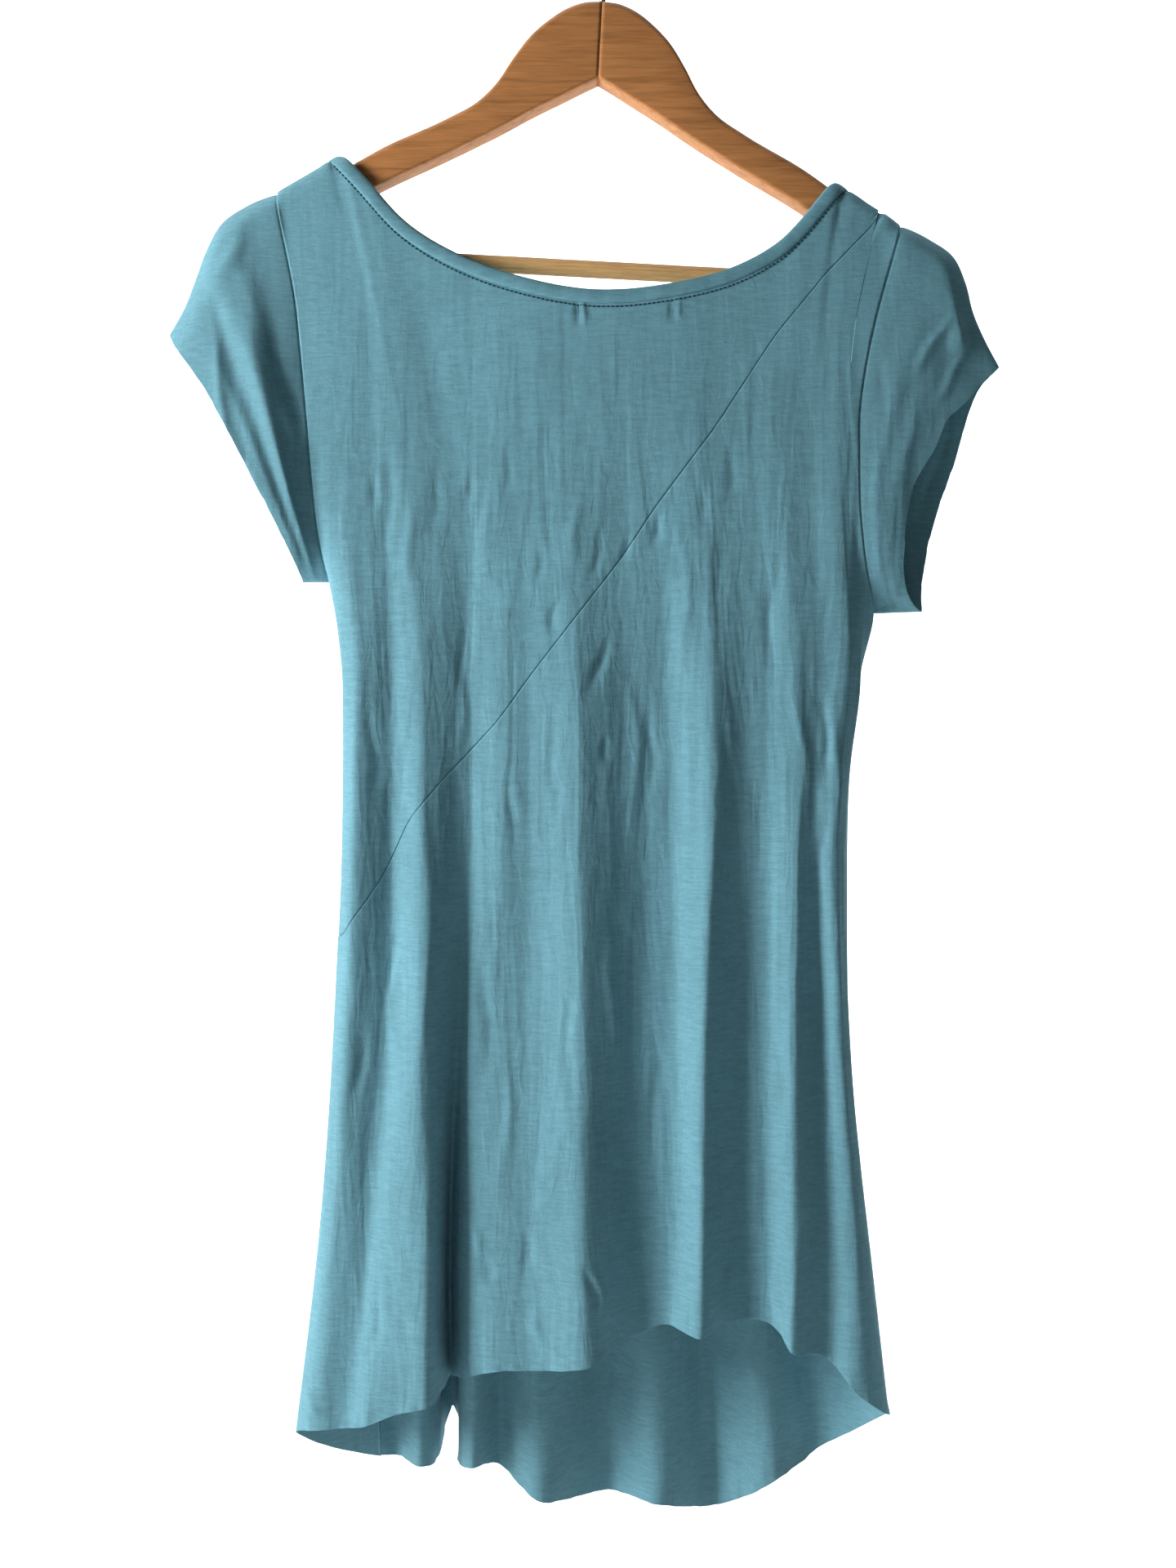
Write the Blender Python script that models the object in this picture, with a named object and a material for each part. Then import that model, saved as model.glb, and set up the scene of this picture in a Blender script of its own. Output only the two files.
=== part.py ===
"""Ruched knit top hanging on a wooden hanger, its back towards -Y.

Units are metres in the scene; the tables below are in millimetres.
x runs to the right, y away from the viewer, drop is the distance below
the point where the hook bears (the origin).
"""
import math

import bpy
import numpy as np
from mathutils import Vector

MM = 0.001

# Cloth sizes
CLOTH = 1.3          # wall of the cloth
SEAM_GAP = 0.3       # space between two pieces at a seam
BINDING_WIDE = 7.0   # width of the neck binding
BINDING_THICK = 2.0  # wall of the folded binding
ARM_WRAP = 9.0       # radius of the cloth where it goes over the hanger
UNDER_CHEST = 353.0  # drop of the chest line
RIBS = 450.0         # drop of a line just below both underarms
WAIST = 512.0        # drop of the waist line
HIP = 672.0          # drop of the hip line
LOW = 786.0          # drop of the last line above the hem

# Hanger sizes
ROLL = 3.1           # degrees that the hanger hangs out of level
ARM_THICK = 13.0     # thickness of the arms
ARM_REACH = 211.0    # half width of the hanger
BAR_RADIUS = 4.8
BAR_DROP = 221.0
BAR_END = 0.8        # space between the bar's ends and the arms
WRAP_DEPTH = 34.0    # how far below an arm's middle the cloth stays off it
HOOK_WIRE = 1.7      # radius of the hook's wire
HOOK_BOW = 17.0      # radius of the hook's bow, to the wire's centre

NECK_LEFT = -160.9   # x where the left shoulder meets the binding
NECK_RIGHT = 137.3   # x where the right shoulder meets the binding
SHOULDER_HALF = 0.2  # half the space at the shoulder seam
SEAM_REACH = 1.6     # edges closer than this share a thickness direction
LEADING = 30.0       # weight of the upper back's direction at the diagonal
SLEEVE_SWELL = 1.2   # how far a sleeve stands out between its ends
TIP_SHARE = 0.02     # the upper back ends where it would be shorter than this
LEFT_UNDERARM = 401.0
RIGHT_UNDERARM = 419.0
SHOULDER_LEFT = (-0.88, 0.0, 0.47)   # way the left shoulder runs
SHOULDER_RIGHT = (0.80, 0.0, 0.60)   # way the right shoulder runs

# Mesh density
ACROSS = 2           # steps from one fold line to the next
SLEEVE_ALONG = 6     # steps from armhole to cuff
TOP_STEPS = (0.0, 0.008, 0.025, 0.056, 0.115, 0.21, 0.35, 0.53, 0.76)
LOWER_STEPS = (1.65, 2.0, 2.4, 2.8, 3.2, 3.6, 4.0, 4.35, 4.7, 5.0)

# Hanger arm, in the hanger's own frame: distance from the middle, drop of
# the top edge, drop of the bottom edge
ARM_ROWS = [
    ("middle", 0.15, 68.2, 113.2),
    ("dome", 10.0, 69.2, 118.6),
    ("dome_side", 20.0, 73.2, 124.3),
    ("dome_edge", 30.0, 80.3, 129.8),
    ("neck_top", 40.0, 90.0, 135.6),
    ("neck", 49.0, 103.0, 141.2),
    ("neck_foot", 58.0, 118.0, 146.6),
    ("bend", 68.0, 129.0, 152.2),
    ("inner", 85.0, 139.8, 161.6),
    ("mid", 120.0, 158.0, 180.2),
    ("outer", 150.0, 177.2, 199.4),
    ("far", 175.0, 191.8, 214.6),
    ("shoulder", 192.0, 202.6, 225.2),
    ("round", 203.0, 211.5, 230.0),
    ("tip", ARM_REACH, 221.5, 230.2),
]

# Share of the arm's thickness that is left near its rounded tip
TIP_THINNER = {"round": 0.94, "tip": 0.62}

# Shoulder tips: x, drop
TIP_LEFT = (-191.0, 177.0)
TIP_RIGHT = (168.0, 195.5)

# Inner edge of the neck binding on the back, left to right: x, y, drop
NECK_BACK = [
    ("apex_left", -154.4, 0.0, 156.0),
    ("over_left", -150.0, -8.0, 160.0),
    ("front_left", -137.0, -10.2, 174.0),
    ("slope_left", -116.0, -10.5, 197.0),
    ("low_left", -84.0, -12.0, 217.0),
    ("bowl_left", -50.0, -13.5, 229.5),
    ("bowl", -8.0, -14.0, 237.0),
    ("bowl_right", 34.0, -13.6, 233.5),
    ("low_right", 72.0, -12.2, 223.0),
    ("slope_right", 98.0, -10.8, 207.5),
    ("front_right", 116.0, -10.3, 187.5),
    ("over_right", 127.0, -8.0, 174.5),
    ("apex_right", 131.5, 0.0, 172.0),
]

# The same on the front, where the neckline is cut a little deeper
NECK_FRONT = [
    ("apex_left", -154.4, 0.0, 156.0),
    ("over_left", -150.5, 8.0, 160.5),
    ("back_left", -138.0, 10.2, 177.0),
    ("slope_left", -117.0, 10.5, 207.0),
    ("low_left", -86.0, 12.0, 235.0),
    ("bowl_left", -51.0, 13.5, 253.0),
    ("bowl", -8.0, 14.0, 261.0),
    ("bowl_right", 35.0, 13.6, 256.0),
    ("low_right", 74.0, 12.2, 240.0),
    ("slope_right", 100.0, 10.8, 217.0),
    ("back_right", 117.5, 10.3, 190.5),
    ("over_right", 127.5, 8.0, 175.0),
    ("apex_right", 131.5, 0.0, 172.0),
]

# Left edge of the body: drop, x and y on the back panel, y on the front.
# The armhole runs down to the underarm at 401, the side seam from there.
LEFT_SEAM = [
    ("tip", 177.0, -191.0, -0.2, 0.2),
    ("over", 184.0, -189.5, -8.6, 8.6),
    ("high", 207.0, -185.0, -9.6, 9.6),
    ("upper", 244.0, -178.0, -10.2, 10.2),
    ("middle", 287.0, -174.0, -10.9, 10.9),
    ("lower", 329.0, -170.0, -11.3, 11.3),
    ("chest", 353.0, -168.0, -11.2, 11.5),
    ("near_underarm", 378.0, -165.0, -9.5, 9.5),
    ("underarm_bend", 392.0, -162.8, -6.0, 6.0),
    ("underarm", 401.0, -161.0, 0.0, 0.0),
    ("side_top", 442.0, -154.0, 3.0, 3.3),
    ("waist", 512.0, -150.5, 7.0, 7.3),
    ("hip_top", 603.0, -150.0, 13.0, 13.3),
    ("hip", 672.0, -148.0, 19.0, 19.3),
    ("low", 786.0, -143.0, 29.0, 29.3),
    ("hem", 921.0, -137.2, 36.0, 36.3),
]

# Right edge of the body, with the underarm at 419
RIGHT_SEAM = [
    ("tip", 195.5, 168.0, -0.2, 0.2),
    ("over", 202.0, 165.5, -8.6, 8.6),
    ("high", 220.0, 160.5, -9.8, 9.8),
    ("upper", 239.0, 155.0, -10.1, 10.1),
    ("middle", 284.0, 145.0, -11.4, 11.4),
    ("lower", 338.0, 141.0, -12.7, 12.7),
    ("chest", 353.0, 141.8, -12.8, 12.8),
    ("near_underarm", 397.0, 147.0, -9.5, 9.5),
    ("underarm_bend", 410.5, 150.5, -6.0, 6.0),
    ("underarm", 419.0, 153.0, 0.0, 0.0),
    ("side_top", 441.0, 147.5, 2.0, 2.3),
    ("ribs", 474.0, 142.0, 2.0, 2.3),
    ("waist", 512.0, 139.0, 2.0, 2.3),
    ("hip_top", 592.0, 138.0, 2.0, 2.3),
    ("hip", 672.0, 139.0, 2.0, 2.3),
    ("thigh", 745.0, 146.0, 2.0, 2.3),
    ("low", 786.0, 151.0, 2.0, 2.3),
    ("hem", 879.0, 161.0, 0.0, 0.3),
]

# Fold lines of the back, left to right. Each has the x of its top end, then
# x and y at the chest, waist, hip and low lines, and x, y and drop at the
# hem. A crest has a y nearer the viewer than the valleys beside it.
BACK_FOLDS = [
    ("left_turn", -187.5, -165.5, -11.8, -152.5, 2.5, -156.0, 8.0, -163.5, 12.0, -172.0, 18.0, 905.0),
    ("left_edge", -183.5, -162.0, -12.4, -152.5, -4.5, -159.0, -4.0, -168.5, -3.0, -181.5, 1.0, 890.0),
    ("edge_crest", -174.0, -150.0, -13.5, -143.0, -16.5, -148.0, -19.0, -157.0, -20.0, -167.0, -22.0, 879.5),
    ("left_valley", -160.9, -130.0, -12.8, -123.0, -11.0, -126.0, -13.0, -137.0, -18.0, -147.5, -20.0, 878.0),
    ("left_crest", -147.0, -114.0, -14.2, -105.0, -18.0, -112.0, -24.0, -127.5, -25.0, -135.0, -30.0, 874.0),
    ("split_valley", -136.0, -106.0, -13.9, -99.0, -16.2, -106.0, -26.0, -117.5, -28.0, -118.5, -29.0, 866.0),
    ("split_crest", -126.0, -97.0, -13.3, -92.0, -13.6, -99.0, -23.0, -101.5, -33.0, -102.0, -36.0, 861.5),
    ("deep_valley", -115.0, -85.0, -12.3, -78.0, -9.5, -87.0, -5.0, -92.0, 6.0, -91.5, 8.0, 860.0),
    ("deep_lip", -96.0, -76.0, -12.9, -72.0, -11.0, -79.5, -12.5, -81.0, -18.0, -80.5, -21.0, 850.0),
    ("mid_crest", -75.0, -63.0, -13.9, -58.0, -14.0, -64.0, -14.5, -63.0, -22.0, -62.5, -25.0, 844.5),
    ("mid_valley", -56.0, -52.0, -13.6, -46.0, -13.0, -48.0, -14.0, -44.0, -22.5, -43.5, -25.5, 844.0),
    ("centre_rise", -46.0, -38.0, -13.9, -32.0, -16.2, -31.0, -18.0, -27.5, -28.0, -27.0, -31.0, 842.5),
    ("centre_crest", -36.0, -23.0, -14.3, -17.5, -19.0, -16.5, -22.5, -14.0, -32.0, -12.5, -35.0, 839.5),
    ("centre_foot", -14.0, 0.0, -13.8, 10.0, -11.2, 8.0, -10.5, 8.5, -16.0, 8.5, -18.0, 831.5),
    ("centre_valley", 8.0, 24.0, -13.3, 34.0, -9.0, 37.0, -8.0, 38.0, -14.5, 32.0, -15.0, 821.5),
    ("right_crest", 50.0, 52.0, -14.1, 58.0, -20.0, 53.0, -22.5, 51.5, -29.0, 51.5, -31.0, 825.5),
    ("right_foot", 65.0, 70.0, -13.5, 74.0, -13.8, 66.0, -11.0, 63.0, -17.0, 61.5, -18.0, 822.0),
    ("right_valley", 80.0, 82.0, -13.2, 87.0, -13.0, 88.0, -9.5, 91.5, -14.5, 91.0, -15.0, 820.5),
    ("outer_crest", 103.0, 97.0, -14.1, 106.0, -18.0, 104.0, -20.0, 103.0, -27.0, 101.5, -29.0, 835.0),
    ("outer_valley", 122.0, 115.0, -13.3, 117.0, -15.5, 120.0, -9.5, 122.0, -14.0, 120.0, -15.0, 837.0),
    ("side_crest", 137.3, 128.0, -14.1, 127.5, -16.8, 130.0, -16.0, 137.0, -21.0, 136.5, -24.0, 856.5),
    ("side_edge", 157.0, 137.5, -13.2, 137.0, -7.0, 138.0, -8.0, 149.0, -10.0, 159.5, -9.0, 876.0),
]

# Fold lines of the front, left to right: x of the top end, share of the
# width at the chest, y at chest, waist, hip and low, then x, y and drop at
# the hem.
FRONT_FOLDS = [
    ("seam_dip", -178.0, 0.06, 14.0, 16.0, 26.0, 38.0, -128.0, 43.0, 923.0),
    ("lip_left", -160.9, 0.14, 12.5, 13.0, 16.0, 18.0, -111.0, 22.0, 921.0),
    ("wall_left", -145.0, 0.20, 14.0, 20.0, 30.0, 42.0, -101.6, 48.0, 924.0),
    ("deep_left", -138.5, 0.213, 14.7, 23.0, 36.0, 51.0, -100.6, 58.0, 909.0),
    ("deep", -134.0, 0.225, 15.0, 24.0, 38.0, 54.0, -96.0, 63.0, 901.0),
    ("deep_right", -129.0, 0.237, 14.7, 23.0, 36.0, 51.0, -91.2, 58.0, 909.0),
    ("wall_right", -122.0, 0.25, 14.0, 20.0, 30.0, 42.0, -90.2, 48.0, 928.0),
    ("lip_right", -108.0, 0.30, 12.5, 13.0, 16.0, 19.0, -80.0, 23.0, 922.0),
    ("left_dip", -88.0, 0.35, 14.0, 22.0, 32.0, 40.0, -66.0, 45.0, 929.0),
    ("left_rise", -60.0, 0.43, 12.5, 14.0, 18.0, 22.0, -41.0, 24.0, 943.0),
    ("centre_dip", -25.0, 0.52, 14.5, 24.0, 36.0, 46.0, -2.0, 51.0, 948.0),
    ("centre_rise", 12.0, 0.61, 13.0, 15.0, 20.0, 25.0, 30.0, 28.0, 946.0),
    ("right_dip", 50.0, 0.70, 14.5, 24.0, 36.0, 46.0, 62.0, 52.0, 959.0),
    ("right_rise", 86.0, 0.79, 13.0, 15.0, 20.0, 25.0, 97.0, 28.0, 934.0),
    ("right_bend", 120.0, 0.88, 14.0, 22.0, 32.0, 40.0, 127.0, 44.0, 920.0),
    ("right_fall", 137.3, 0.94, 13.5, 16.0, 22.0, 28.0, 147.0, 30.0, 903.0),
    ("right_turn", 156.0, 0.975, 12.8, 9.0, 11.0, 13.0, 157.0, 13.0, 888.0),
]

# Diagonal seam across the back, from the right shoulder down to the left
# side: x, drop
DIAGONAL = [
    (-157.0, 604.0), (-152.0, 603.0), (-137.0, 583.0), (-126.0, 565.0),
    (-115.0, 540.0), (-93.0, 513.0), (-62.0, 480.0), (-45.0, 456.0),
    (-23.0, 428.0), (7.0, 389.0), (27.0, 359.0), (60.0, 315.0),
    (93.0, 264.0), (106.0, 248.0), (124.0, 226.0), (150.0, 199.0),
    (157.0, 187.4),
]

# Sleeves. Each side has its armhole, its cuff on the near and far side, and
# the line over the shoulder from armhole to cuff. Rows are x, y, drop.
CUFF_LEFT = [
    (-176.0, 0.0, 401.0), (-178.0, -9.0, 393.0), (-193.0, -18.0, 361.0), (-211.0, -20.0, 325.0),
    (-233.0, -16.0, 287.0), (-248.0, -8.0, 267.0), (-253.0, 0.0, 259.0), (-243.0, 9.0, 271.0),
    (-234.0, 16.0, 287.0), (-218.0, 20.0, 317.0), (-199.0, 18.0, 354.0), (-181.0, 9.0, 390.0),
    (-176.0, 0.0, 401.0),
]
CUFF_RIGHT = [
    (180.0, 0.0, 418.0), (171.7, -6.0, 410.3), (167.9, -9.0, 397.0), (168.4, -10.5, 375.5),
    (173.5, -9.5, 347.0), (185.2, -8.0, 327.0), (196.6, -6.5, 305.5), (206.0, -5.0, 297.0),
    (214.7, -3.0, 286.3), (225.0, 0.0, 277.0), (217.0, 9.0, 286.0), (212.0, 16.0, 298.0),
    (207.5, 24.0, 320.0), (197.0, 27.0, 351.0), (191.0, 25.0, 370.0), (185.5, 18.0, 392.0),
    (181.5, 8.0, 410.0), (180.0, 0.0, 418.0),
]
TOP_LEFT = [
    (-191.5, 0.0, 177.0), (-202.0, 0.0, 181.5), (-214.0, 0.0, 187.5), (-225.0, 0.0, 197.0),
    (-232.0, 0.0, 211.0), (-239.0, 0.0, 230.0), (-246.0, 0.0, 247.0), (-253.0, 0.0, 259.0),
]
TOP_RIGHT = [
    (168.5, 0.0, 195.0), (177.0, 0.0, 199.5), (188.0, 0.0, 205.5), (198.0, 0.0, 213.0),
    (205.0, 0.0, 227.0), (209.0, 0.0, 243.0), (216.0, 0.0, 260.0), (225.0, 0.0, 277.0),
]
# Soft ridges of the sleeves: share from armhole to cuff at the top and at
# the underarm, how far they stand out, half width as a share
RIDGES_LEFT = [(0.42, 0.55, 3.5, 0.13), (0.80, 0.80, 2.5, 0.09)]
RIDGES_RIGHT = [(0.35, 0.40, 1.0, 0.14), (0.72, 0.75, 1.2, 0.11)]

# Colours
TEAL = (0.166, 0.332, 0.398, 1.0)
TEAL_BINDING = (0.150, 0.300, 0.362, 1.0)
WOOD = (0.400, 0.190, 0.085, 1.0)
BAR_WOOD = (0.560, 0.340, 0.165, 1.0)
STEEL = (0.56, 0.57, 0.58, 1.0)


def clear_scene():
    for obj in list(bpy.data.objects):
        bpy.data.objects.remove(obj, do_unlink=True)


def material(name, colour, roughness, metallic=0.0):
    mat = bpy.data.materials.new(name)
    mat.use_nodes = True
    shader = mat.node_tree.nodes["Principled BSDF"]
    shader.inputs["Base Color"].default_value = colour
    shader.inputs["Roughness"].default_value = roughness
    shader.inputs["Metallic"].default_value = metallic
    return mat


def smooth_curve(points, where):
    """Point of a smooth curve that passes through all the given points."""
    pts = np.asarray(points, float)
    where = min(max(where, 0.0), len(pts) - 1.0)
    i = min(int(where), len(pts) - 2)
    t = where - i
    p1 = pts[i]
    p2 = pts[i + 1]
    p0 = pts[i - 1] if i > 0 else 2 * p1 - p2
    p3 = pts[i + 2] if i + 2 < len(pts) else 2 * p2 - p1
    step = [max(np.linalg.norm(b - a), 1e-6) for a, b in ((p0, p1), (p1, p2), (p2, p3))]
    m1 = step[1] * ((p1 - p0) / step[0] - (p2 - p0) / (step[0] + step[1]) + (p2 - p1) / step[1])
    m2 = step[1] * ((p2 - p1) / step[1] - (p3 - p1) / (step[1] + step[2]) + (p3 - p2) / step[2])
    a = t * t * t
    b = t * t
    return (2 * a - 3 * b + 1) * p1 + (a - 2 * b + t) * m1 + (3 * b - 2 * a) * p2 + (a - b) * m2


def by_drop(table, drop):
    """Values of a table whose first column is the drop, at one drop.

    A seam's table has its corner at the underarm, where y is 0.
    """
    corner = [j for j in range(1, len(table) - 1) if table[j][2] == 0.0]
    if corner:
        table = table[:corner[0] + 1] if drop <= table[corner[0]][0] else table[corner[0]:]
    drops = [row[0] for row in table]
    drop = min(max(drop, drops[0]), drops[-1])
    i = max(j for j in range(len(drops)) if drops[j] <= drop)
    i = min(i, len(drops) - 2)
    t = (drop - drops[i]) / (drops[i + 1] - drops[i])
    return smooth_curve(table, i + t)[1:]


def even_points(points, count):
    """Points at even distances along a smooth curve through the given ones."""
    fine = np.array([smooth_curve(points, k / 12.0) for k in range(12 * (len(points) - 1) + 1)])
    length = np.concatenate([[0.0], np.cumsum(np.linalg.norm(np.diff(fine, axis=0), axis=1))])
    at = np.linspace(0.0, length[-1], count)
    return np.array([[np.interp(s, length, fine[:, k]) for k in range(3)] for s in at])


def neck_path(rows):
    """Inner edge of the binding and the direction from it into the panel."""
    inner = even_points([row[1:] for row in rows], 49)
    tangent = np.gradient(inner, axis=0)
    side = []
    for k, t in enumerate(tangent):
        out = np.cross(t, (0.0, 1.0, 0.0))
        out = out / max(np.linalg.norm(out), 1e-6)
        if out[2] < 0:
            out = -out
        along = SHOULDER_LEFT if k < 24 else SHOULDER_RIGHT
        mix = min(1.0, min(k, 48 - k) / 4.0)
        out = np.array(along) * (1.0 - mix) + out * mix
        side.append(out / np.linalg.norm(out))
    return inner, np.array(side)


def panel_top(rows, sign):
    """Top edge of a panel: shoulder, under the binding, shoulder."""
    inner, side = neck_path(rows)
    under = inner + side * (BINDING_WIDE + SEAM_GAP)
    keep = [under[0]]
    for p in under[1:-1]:
        if keep[-1][0] + 0.3 < p[0] < under[-1][0] - 0.3:
            keep.append(p)
    keep.append(under[-1])
    edge = [(TIP_LEFT[0], 0.0, TIP_LEFT[1])] + keep + [(TIP_RIGHT[0], 0.0, TIP_RIGHT[1])]
    edge = np.array(edge)
    edge[:, 1] += sign * SHOULDER_HALF
    return edge


def at_x(edge, x):
    """y and drop of a panel's top edge at one x."""
    return float(np.interp(x, edge[:, 0], edge[:, 1])), float(np.interp(x, edge[:, 0], edge[:, 2]))


def arm_top(x):
    """Drop of the top of the hanger's arm under a point of the cloth."""
    side = 1.0 if x > -9.0 else -1.0
    rows = [hanger_point(side * row[1], 0.0, row[2]) for row in ARM_ROWS]
    xs = [side * p[0] for p in rows]
    return float(np.interp(side * x, xs, [p[2] for p in rows]))


def clear_arm(p, sign, radius=ARM_WRAP):
    """Move a point of the cloth's outer face out to its place round the arm."""
    x, y, drop = p
    reach = hanger_point(math.copysign(ARM_REACH, x), 0.0, ARM_ROWS[-1][2])
    if abs(x) > abs(reach[0]) + 1.0:
        return np.array(p)
    centre = arm_top(x) + ARM_THICK / 2
    if drop > centre + WRAP_DEPTH:
        return np.array(p)
    if drop >= centre:
        return np.array((x, sign * max(abs(y), radius), drop))
    away = math.hypot(y, drop - centre)
    if away >= radius:
        return np.array(p)
    scale = radius / max(away, 1e-6)
    return np.array((x, y * scale, centre + (drop - centre) * scale))


class Panel:
    """One side of the body: lines that run down it, from left to right."""

    def __init__(self, side, step):
        back = side == "back"
        self.sign = -1.0 if back else 1.0
        self.edge = panel_top(NECK_BACK if back else NECK_FRONT, self.sign)
        self.left = self.seam(LEFT_SEAM, LEFT_UNDERARM, back)
        self.right = self.seam(RIGHT_SEAM, RIGHT_UNDERARM, back)
        main = self.back_levels() if back else self.front_levels()
        ends = [self.edge_levels(self.left, TIP_LEFT[0]), self.edge_levels(self.right, TIP_RIGHT[0])]
        main = [ends[0]] + main + [ends[1]]
        tops = [row[0] for row in main]
        levels = [[row[1][k] for row in main] for k in range(5)]
        self.lines = []
        self.at = []
        last = len(main) - 1
        at = {k / step for k in range(last * step + 1)}
        for k in range(1, last):
            if abs(tops[k] - NECK_LEFT) < 0.2:
                at |= {k + 0.25, k + 0.12}
            if abs(tops[k] - NECK_RIGHT) < 0.2:
                at |= {k - 0.25, k - 0.12}
            if back and abs(tops[k] - DIAGONAL[-1][0]) < 0.2:
                at |= {k - 0.25, k - 0.12}
        for u in sorted(at):
            self.at.append(u)
            if u == 0:
                self.lines.append(self.left)
            elif u == last:
                self.lines.append(self.right)
            else:
                top_x = float(np.interp(u, range(len(tops)), tops))
                rows = [tuple(smooth_curve(level, u)) for level in levels]
                self.lines.append(self.line(top_x, [(r[2], r[0], r[1]) for r in rows]))

    @staticmethod
    def seam(table, underarm, back):
        """One side of the panel; below the underarm both panels share it."""
        rows = []
        for _name, drop, x, y_back, y_front in table:
            rows.append((drop, x, y_back if back or drop > underarm else y_front))
        return rows

    def edge_levels(self, seam, top_x):
        """A side of the panel at the levels that the fold lines use."""
        rows = []
        for level in (UNDER_CHEST, WAIST, HIP, LOW, seam[-1][0]):
            x, y = by_drop(seam, level)
            rows.append((x, y, level))
        return top_x, rows

    def back_levels(self):
        """Fold lines of the back at their levels: x, y, drop."""
        out = []
        for _name, top_x, cx, cy, wx, wy, hx, hy, lx, ly, ex, ey, drop in BACK_FOLDS:
            out.append((top_x, [(cx, cy, UNDER_CHEST), (wx, wy, WAIST), (hx, hy, HIP),
                                (lx, ly, LOW), (ex, ey, drop)]))
        return out

    def front_levels(self):
        """Fold lines of the front, placed by their share of the width."""
        out = []
        left = self.left[-1][1]
        right = self.right[-1][1]
        for _name, top_x, share, cy, wy, hy, ly, ex, ey, drop in FRONT_FOLDS:
            share_end = (ex - left) / (right - left)
            rows = []
            for level, y in ((UNDER_CHEST, cy), (WAIST, wy), (HIP, hy), (LOW, ly)):
                t = (level - UNDER_CHEST) / (drop - UNDER_CHEST)
                part = share + (share_end - share) * t
                x_left = by_drop(self.left, level)[0]
                x_right = by_drop(self.right, level)[0]
                rows.append((x_left + part * (x_right - x_left), y, level))
            rows.append((ex, ey, drop))
            out.append((top_x, rows))
        return out

    def line(self, top_x, rows):
        """One line: top edge, over the hanger's arm, then through its levels."""
        y_top, drop_top = at_x(self.edge, top_x)
        chest = rows[0]
        across = (chest[1] - self.left_x(chest[0])) / (self.right_x(chest[0]) - self.left_x(chest[0]))
        first = [(drop_top, top_x, y_top)]
        wrapped = abs(y_top) < ARM_WRAP - 0.6
        steps = [(s, True) for s in (1.2, 3.2, 6.5)] if wrapped else []
        steps += [(12.0, wrapped), (30.0, False), (70.0, False)]
        for s, over in steps:
            drop = drop_top + s
            if drop > chest[0] - 14.0:
                break
            t = s / (chest[0] - drop_top)
            x = top_x + (chest[1] - top_x) * t + self.bulge(drop, drop_top, across)
            if over:
                deep = min(s + ARM_WRAP - math.sqrt(ARM_WRAP ** 2 - y_top ** 2), ARM_WRAP)
                y = self.sign * math.sqrt(ARM_WRAP ** 2 - (ARM_WRAP - deep) ** 2)
            else:
                start = self.sign * ARM_WRAP if wrapped else y_top
                y = start + (chest[2] - start) * t
            first.append((drop, x, y))
        rib = self.rib_row(across, rows)
        return first + [rows[0], rib] + list(rows[1:])

    def rib_row(self, across, rows):
        """The row under the arms, where the side seams bend the lines beside them."""
        t = (RIBS - rows[0][0]) / (rows[1][0] - rows[0][0])
        x = rows[0][1] + (rows[1][1] - rows[0][1]) * t
        y = rows[0][2] + (rows[1][2] - rows[0][2]) * t
        for edge, weight in ((self.left_x, 1 - across), (self.right_x, across)):
            chord = edge(rows[0][0]) + (edge(rows[1][0]) - edge(rows[0][0])) * t
            x += (edge(RIBS) - chord) * max(weight, 0.0) ** 3
        return RIBS, x, y

    def left_x(self, drop):
        return by_drop(self.left, drop)[0]

    def right_x(self, drop):
        return by_drop(self.right, drop)[0]

    def bulge(self, drop, drop_top, across):
        """How far the armholes bend the lines that run beside them."""
        t = (drop - drop_top) / (UNDER_CHEST - drop_top)
        out = 0.0
        for seam, tip, weight in ((self.left_x, TIP_LEFT, 1 - across), (self.right_x, TIP_RIGHT, across)):
            at = tip[1] + (UNDER_CHEST - tip[1]) * t
            chord = tip[0] + (seam(UNDER_CHEST) - tip[0]) * t
            out += (seam(at) - chord) * max(weight, 0.0) ** 2
        return out

    def point(self, j, share):
        """Point of line j: share 0..1 top to chest, then 1 more to each level."""
        rows = self.lines[j]
        marks = [rows[0][0], UNDER_CHEST, WAIST, HIP, LOW, rows[-1][0]]
        k = min(int(share), 4)
        drop = marks[k] + (share - k) * (marks[k + 1] - marks[k])
        x, y = by_drop(rows, drop)
        p = np.array((x, y, drop))
        return clear_arm(p, self.sign) if share < 1.0 else p


def row_shares():
    """Rows of a panel, with one at each underarm."""
    left = 1.0 + (LEFT_UNDERARM - UNDER_CHEST) / (WAIST - UNDER_CHEST)
    right = 1.0 + (RIGHT_UNDERARM - UNDER_CHEST) / (WAIST - UNDER_CHEST)
    return list(TOP_STEPS) + [1.0, 1.15, left - 0.055, left, right - 0.055, right] + list(LOWER_STEPS)


def world(p):
    """Scene point in metres from x, y and drop."""
    return Vector((p[0] * MM, p[1] * MM, -p[2] * MM))


class Sheet:
    """A grid of points on the outer face of a cloth piece, and its normals."""

    def __init__(self, name, grid, closed, thick, outside):
        self.name = name
        self.grid = np.array(grid, float)
        self.closed = closed
        self.thick = thick
        self.normal = grid_normals(self.grid, closed)
        if outside(self.grid, self.normal) < 0:
            self.normal = -self.normal
        self.final = self.normal.copy()

    def border(self):
        """Cells on the edges of the grid."""
        rows, cols = self.grid.shape[:2]
        out = [(0, j) for j in range(cols)] + [(rows - 1, j) for j in range(cols)]
        if not self.closed:
            out += [(i, 0) for i in range(1, rows - 1)] + [(i, cols - 1) for i in range(1, rows - 1)]
        return out


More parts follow.
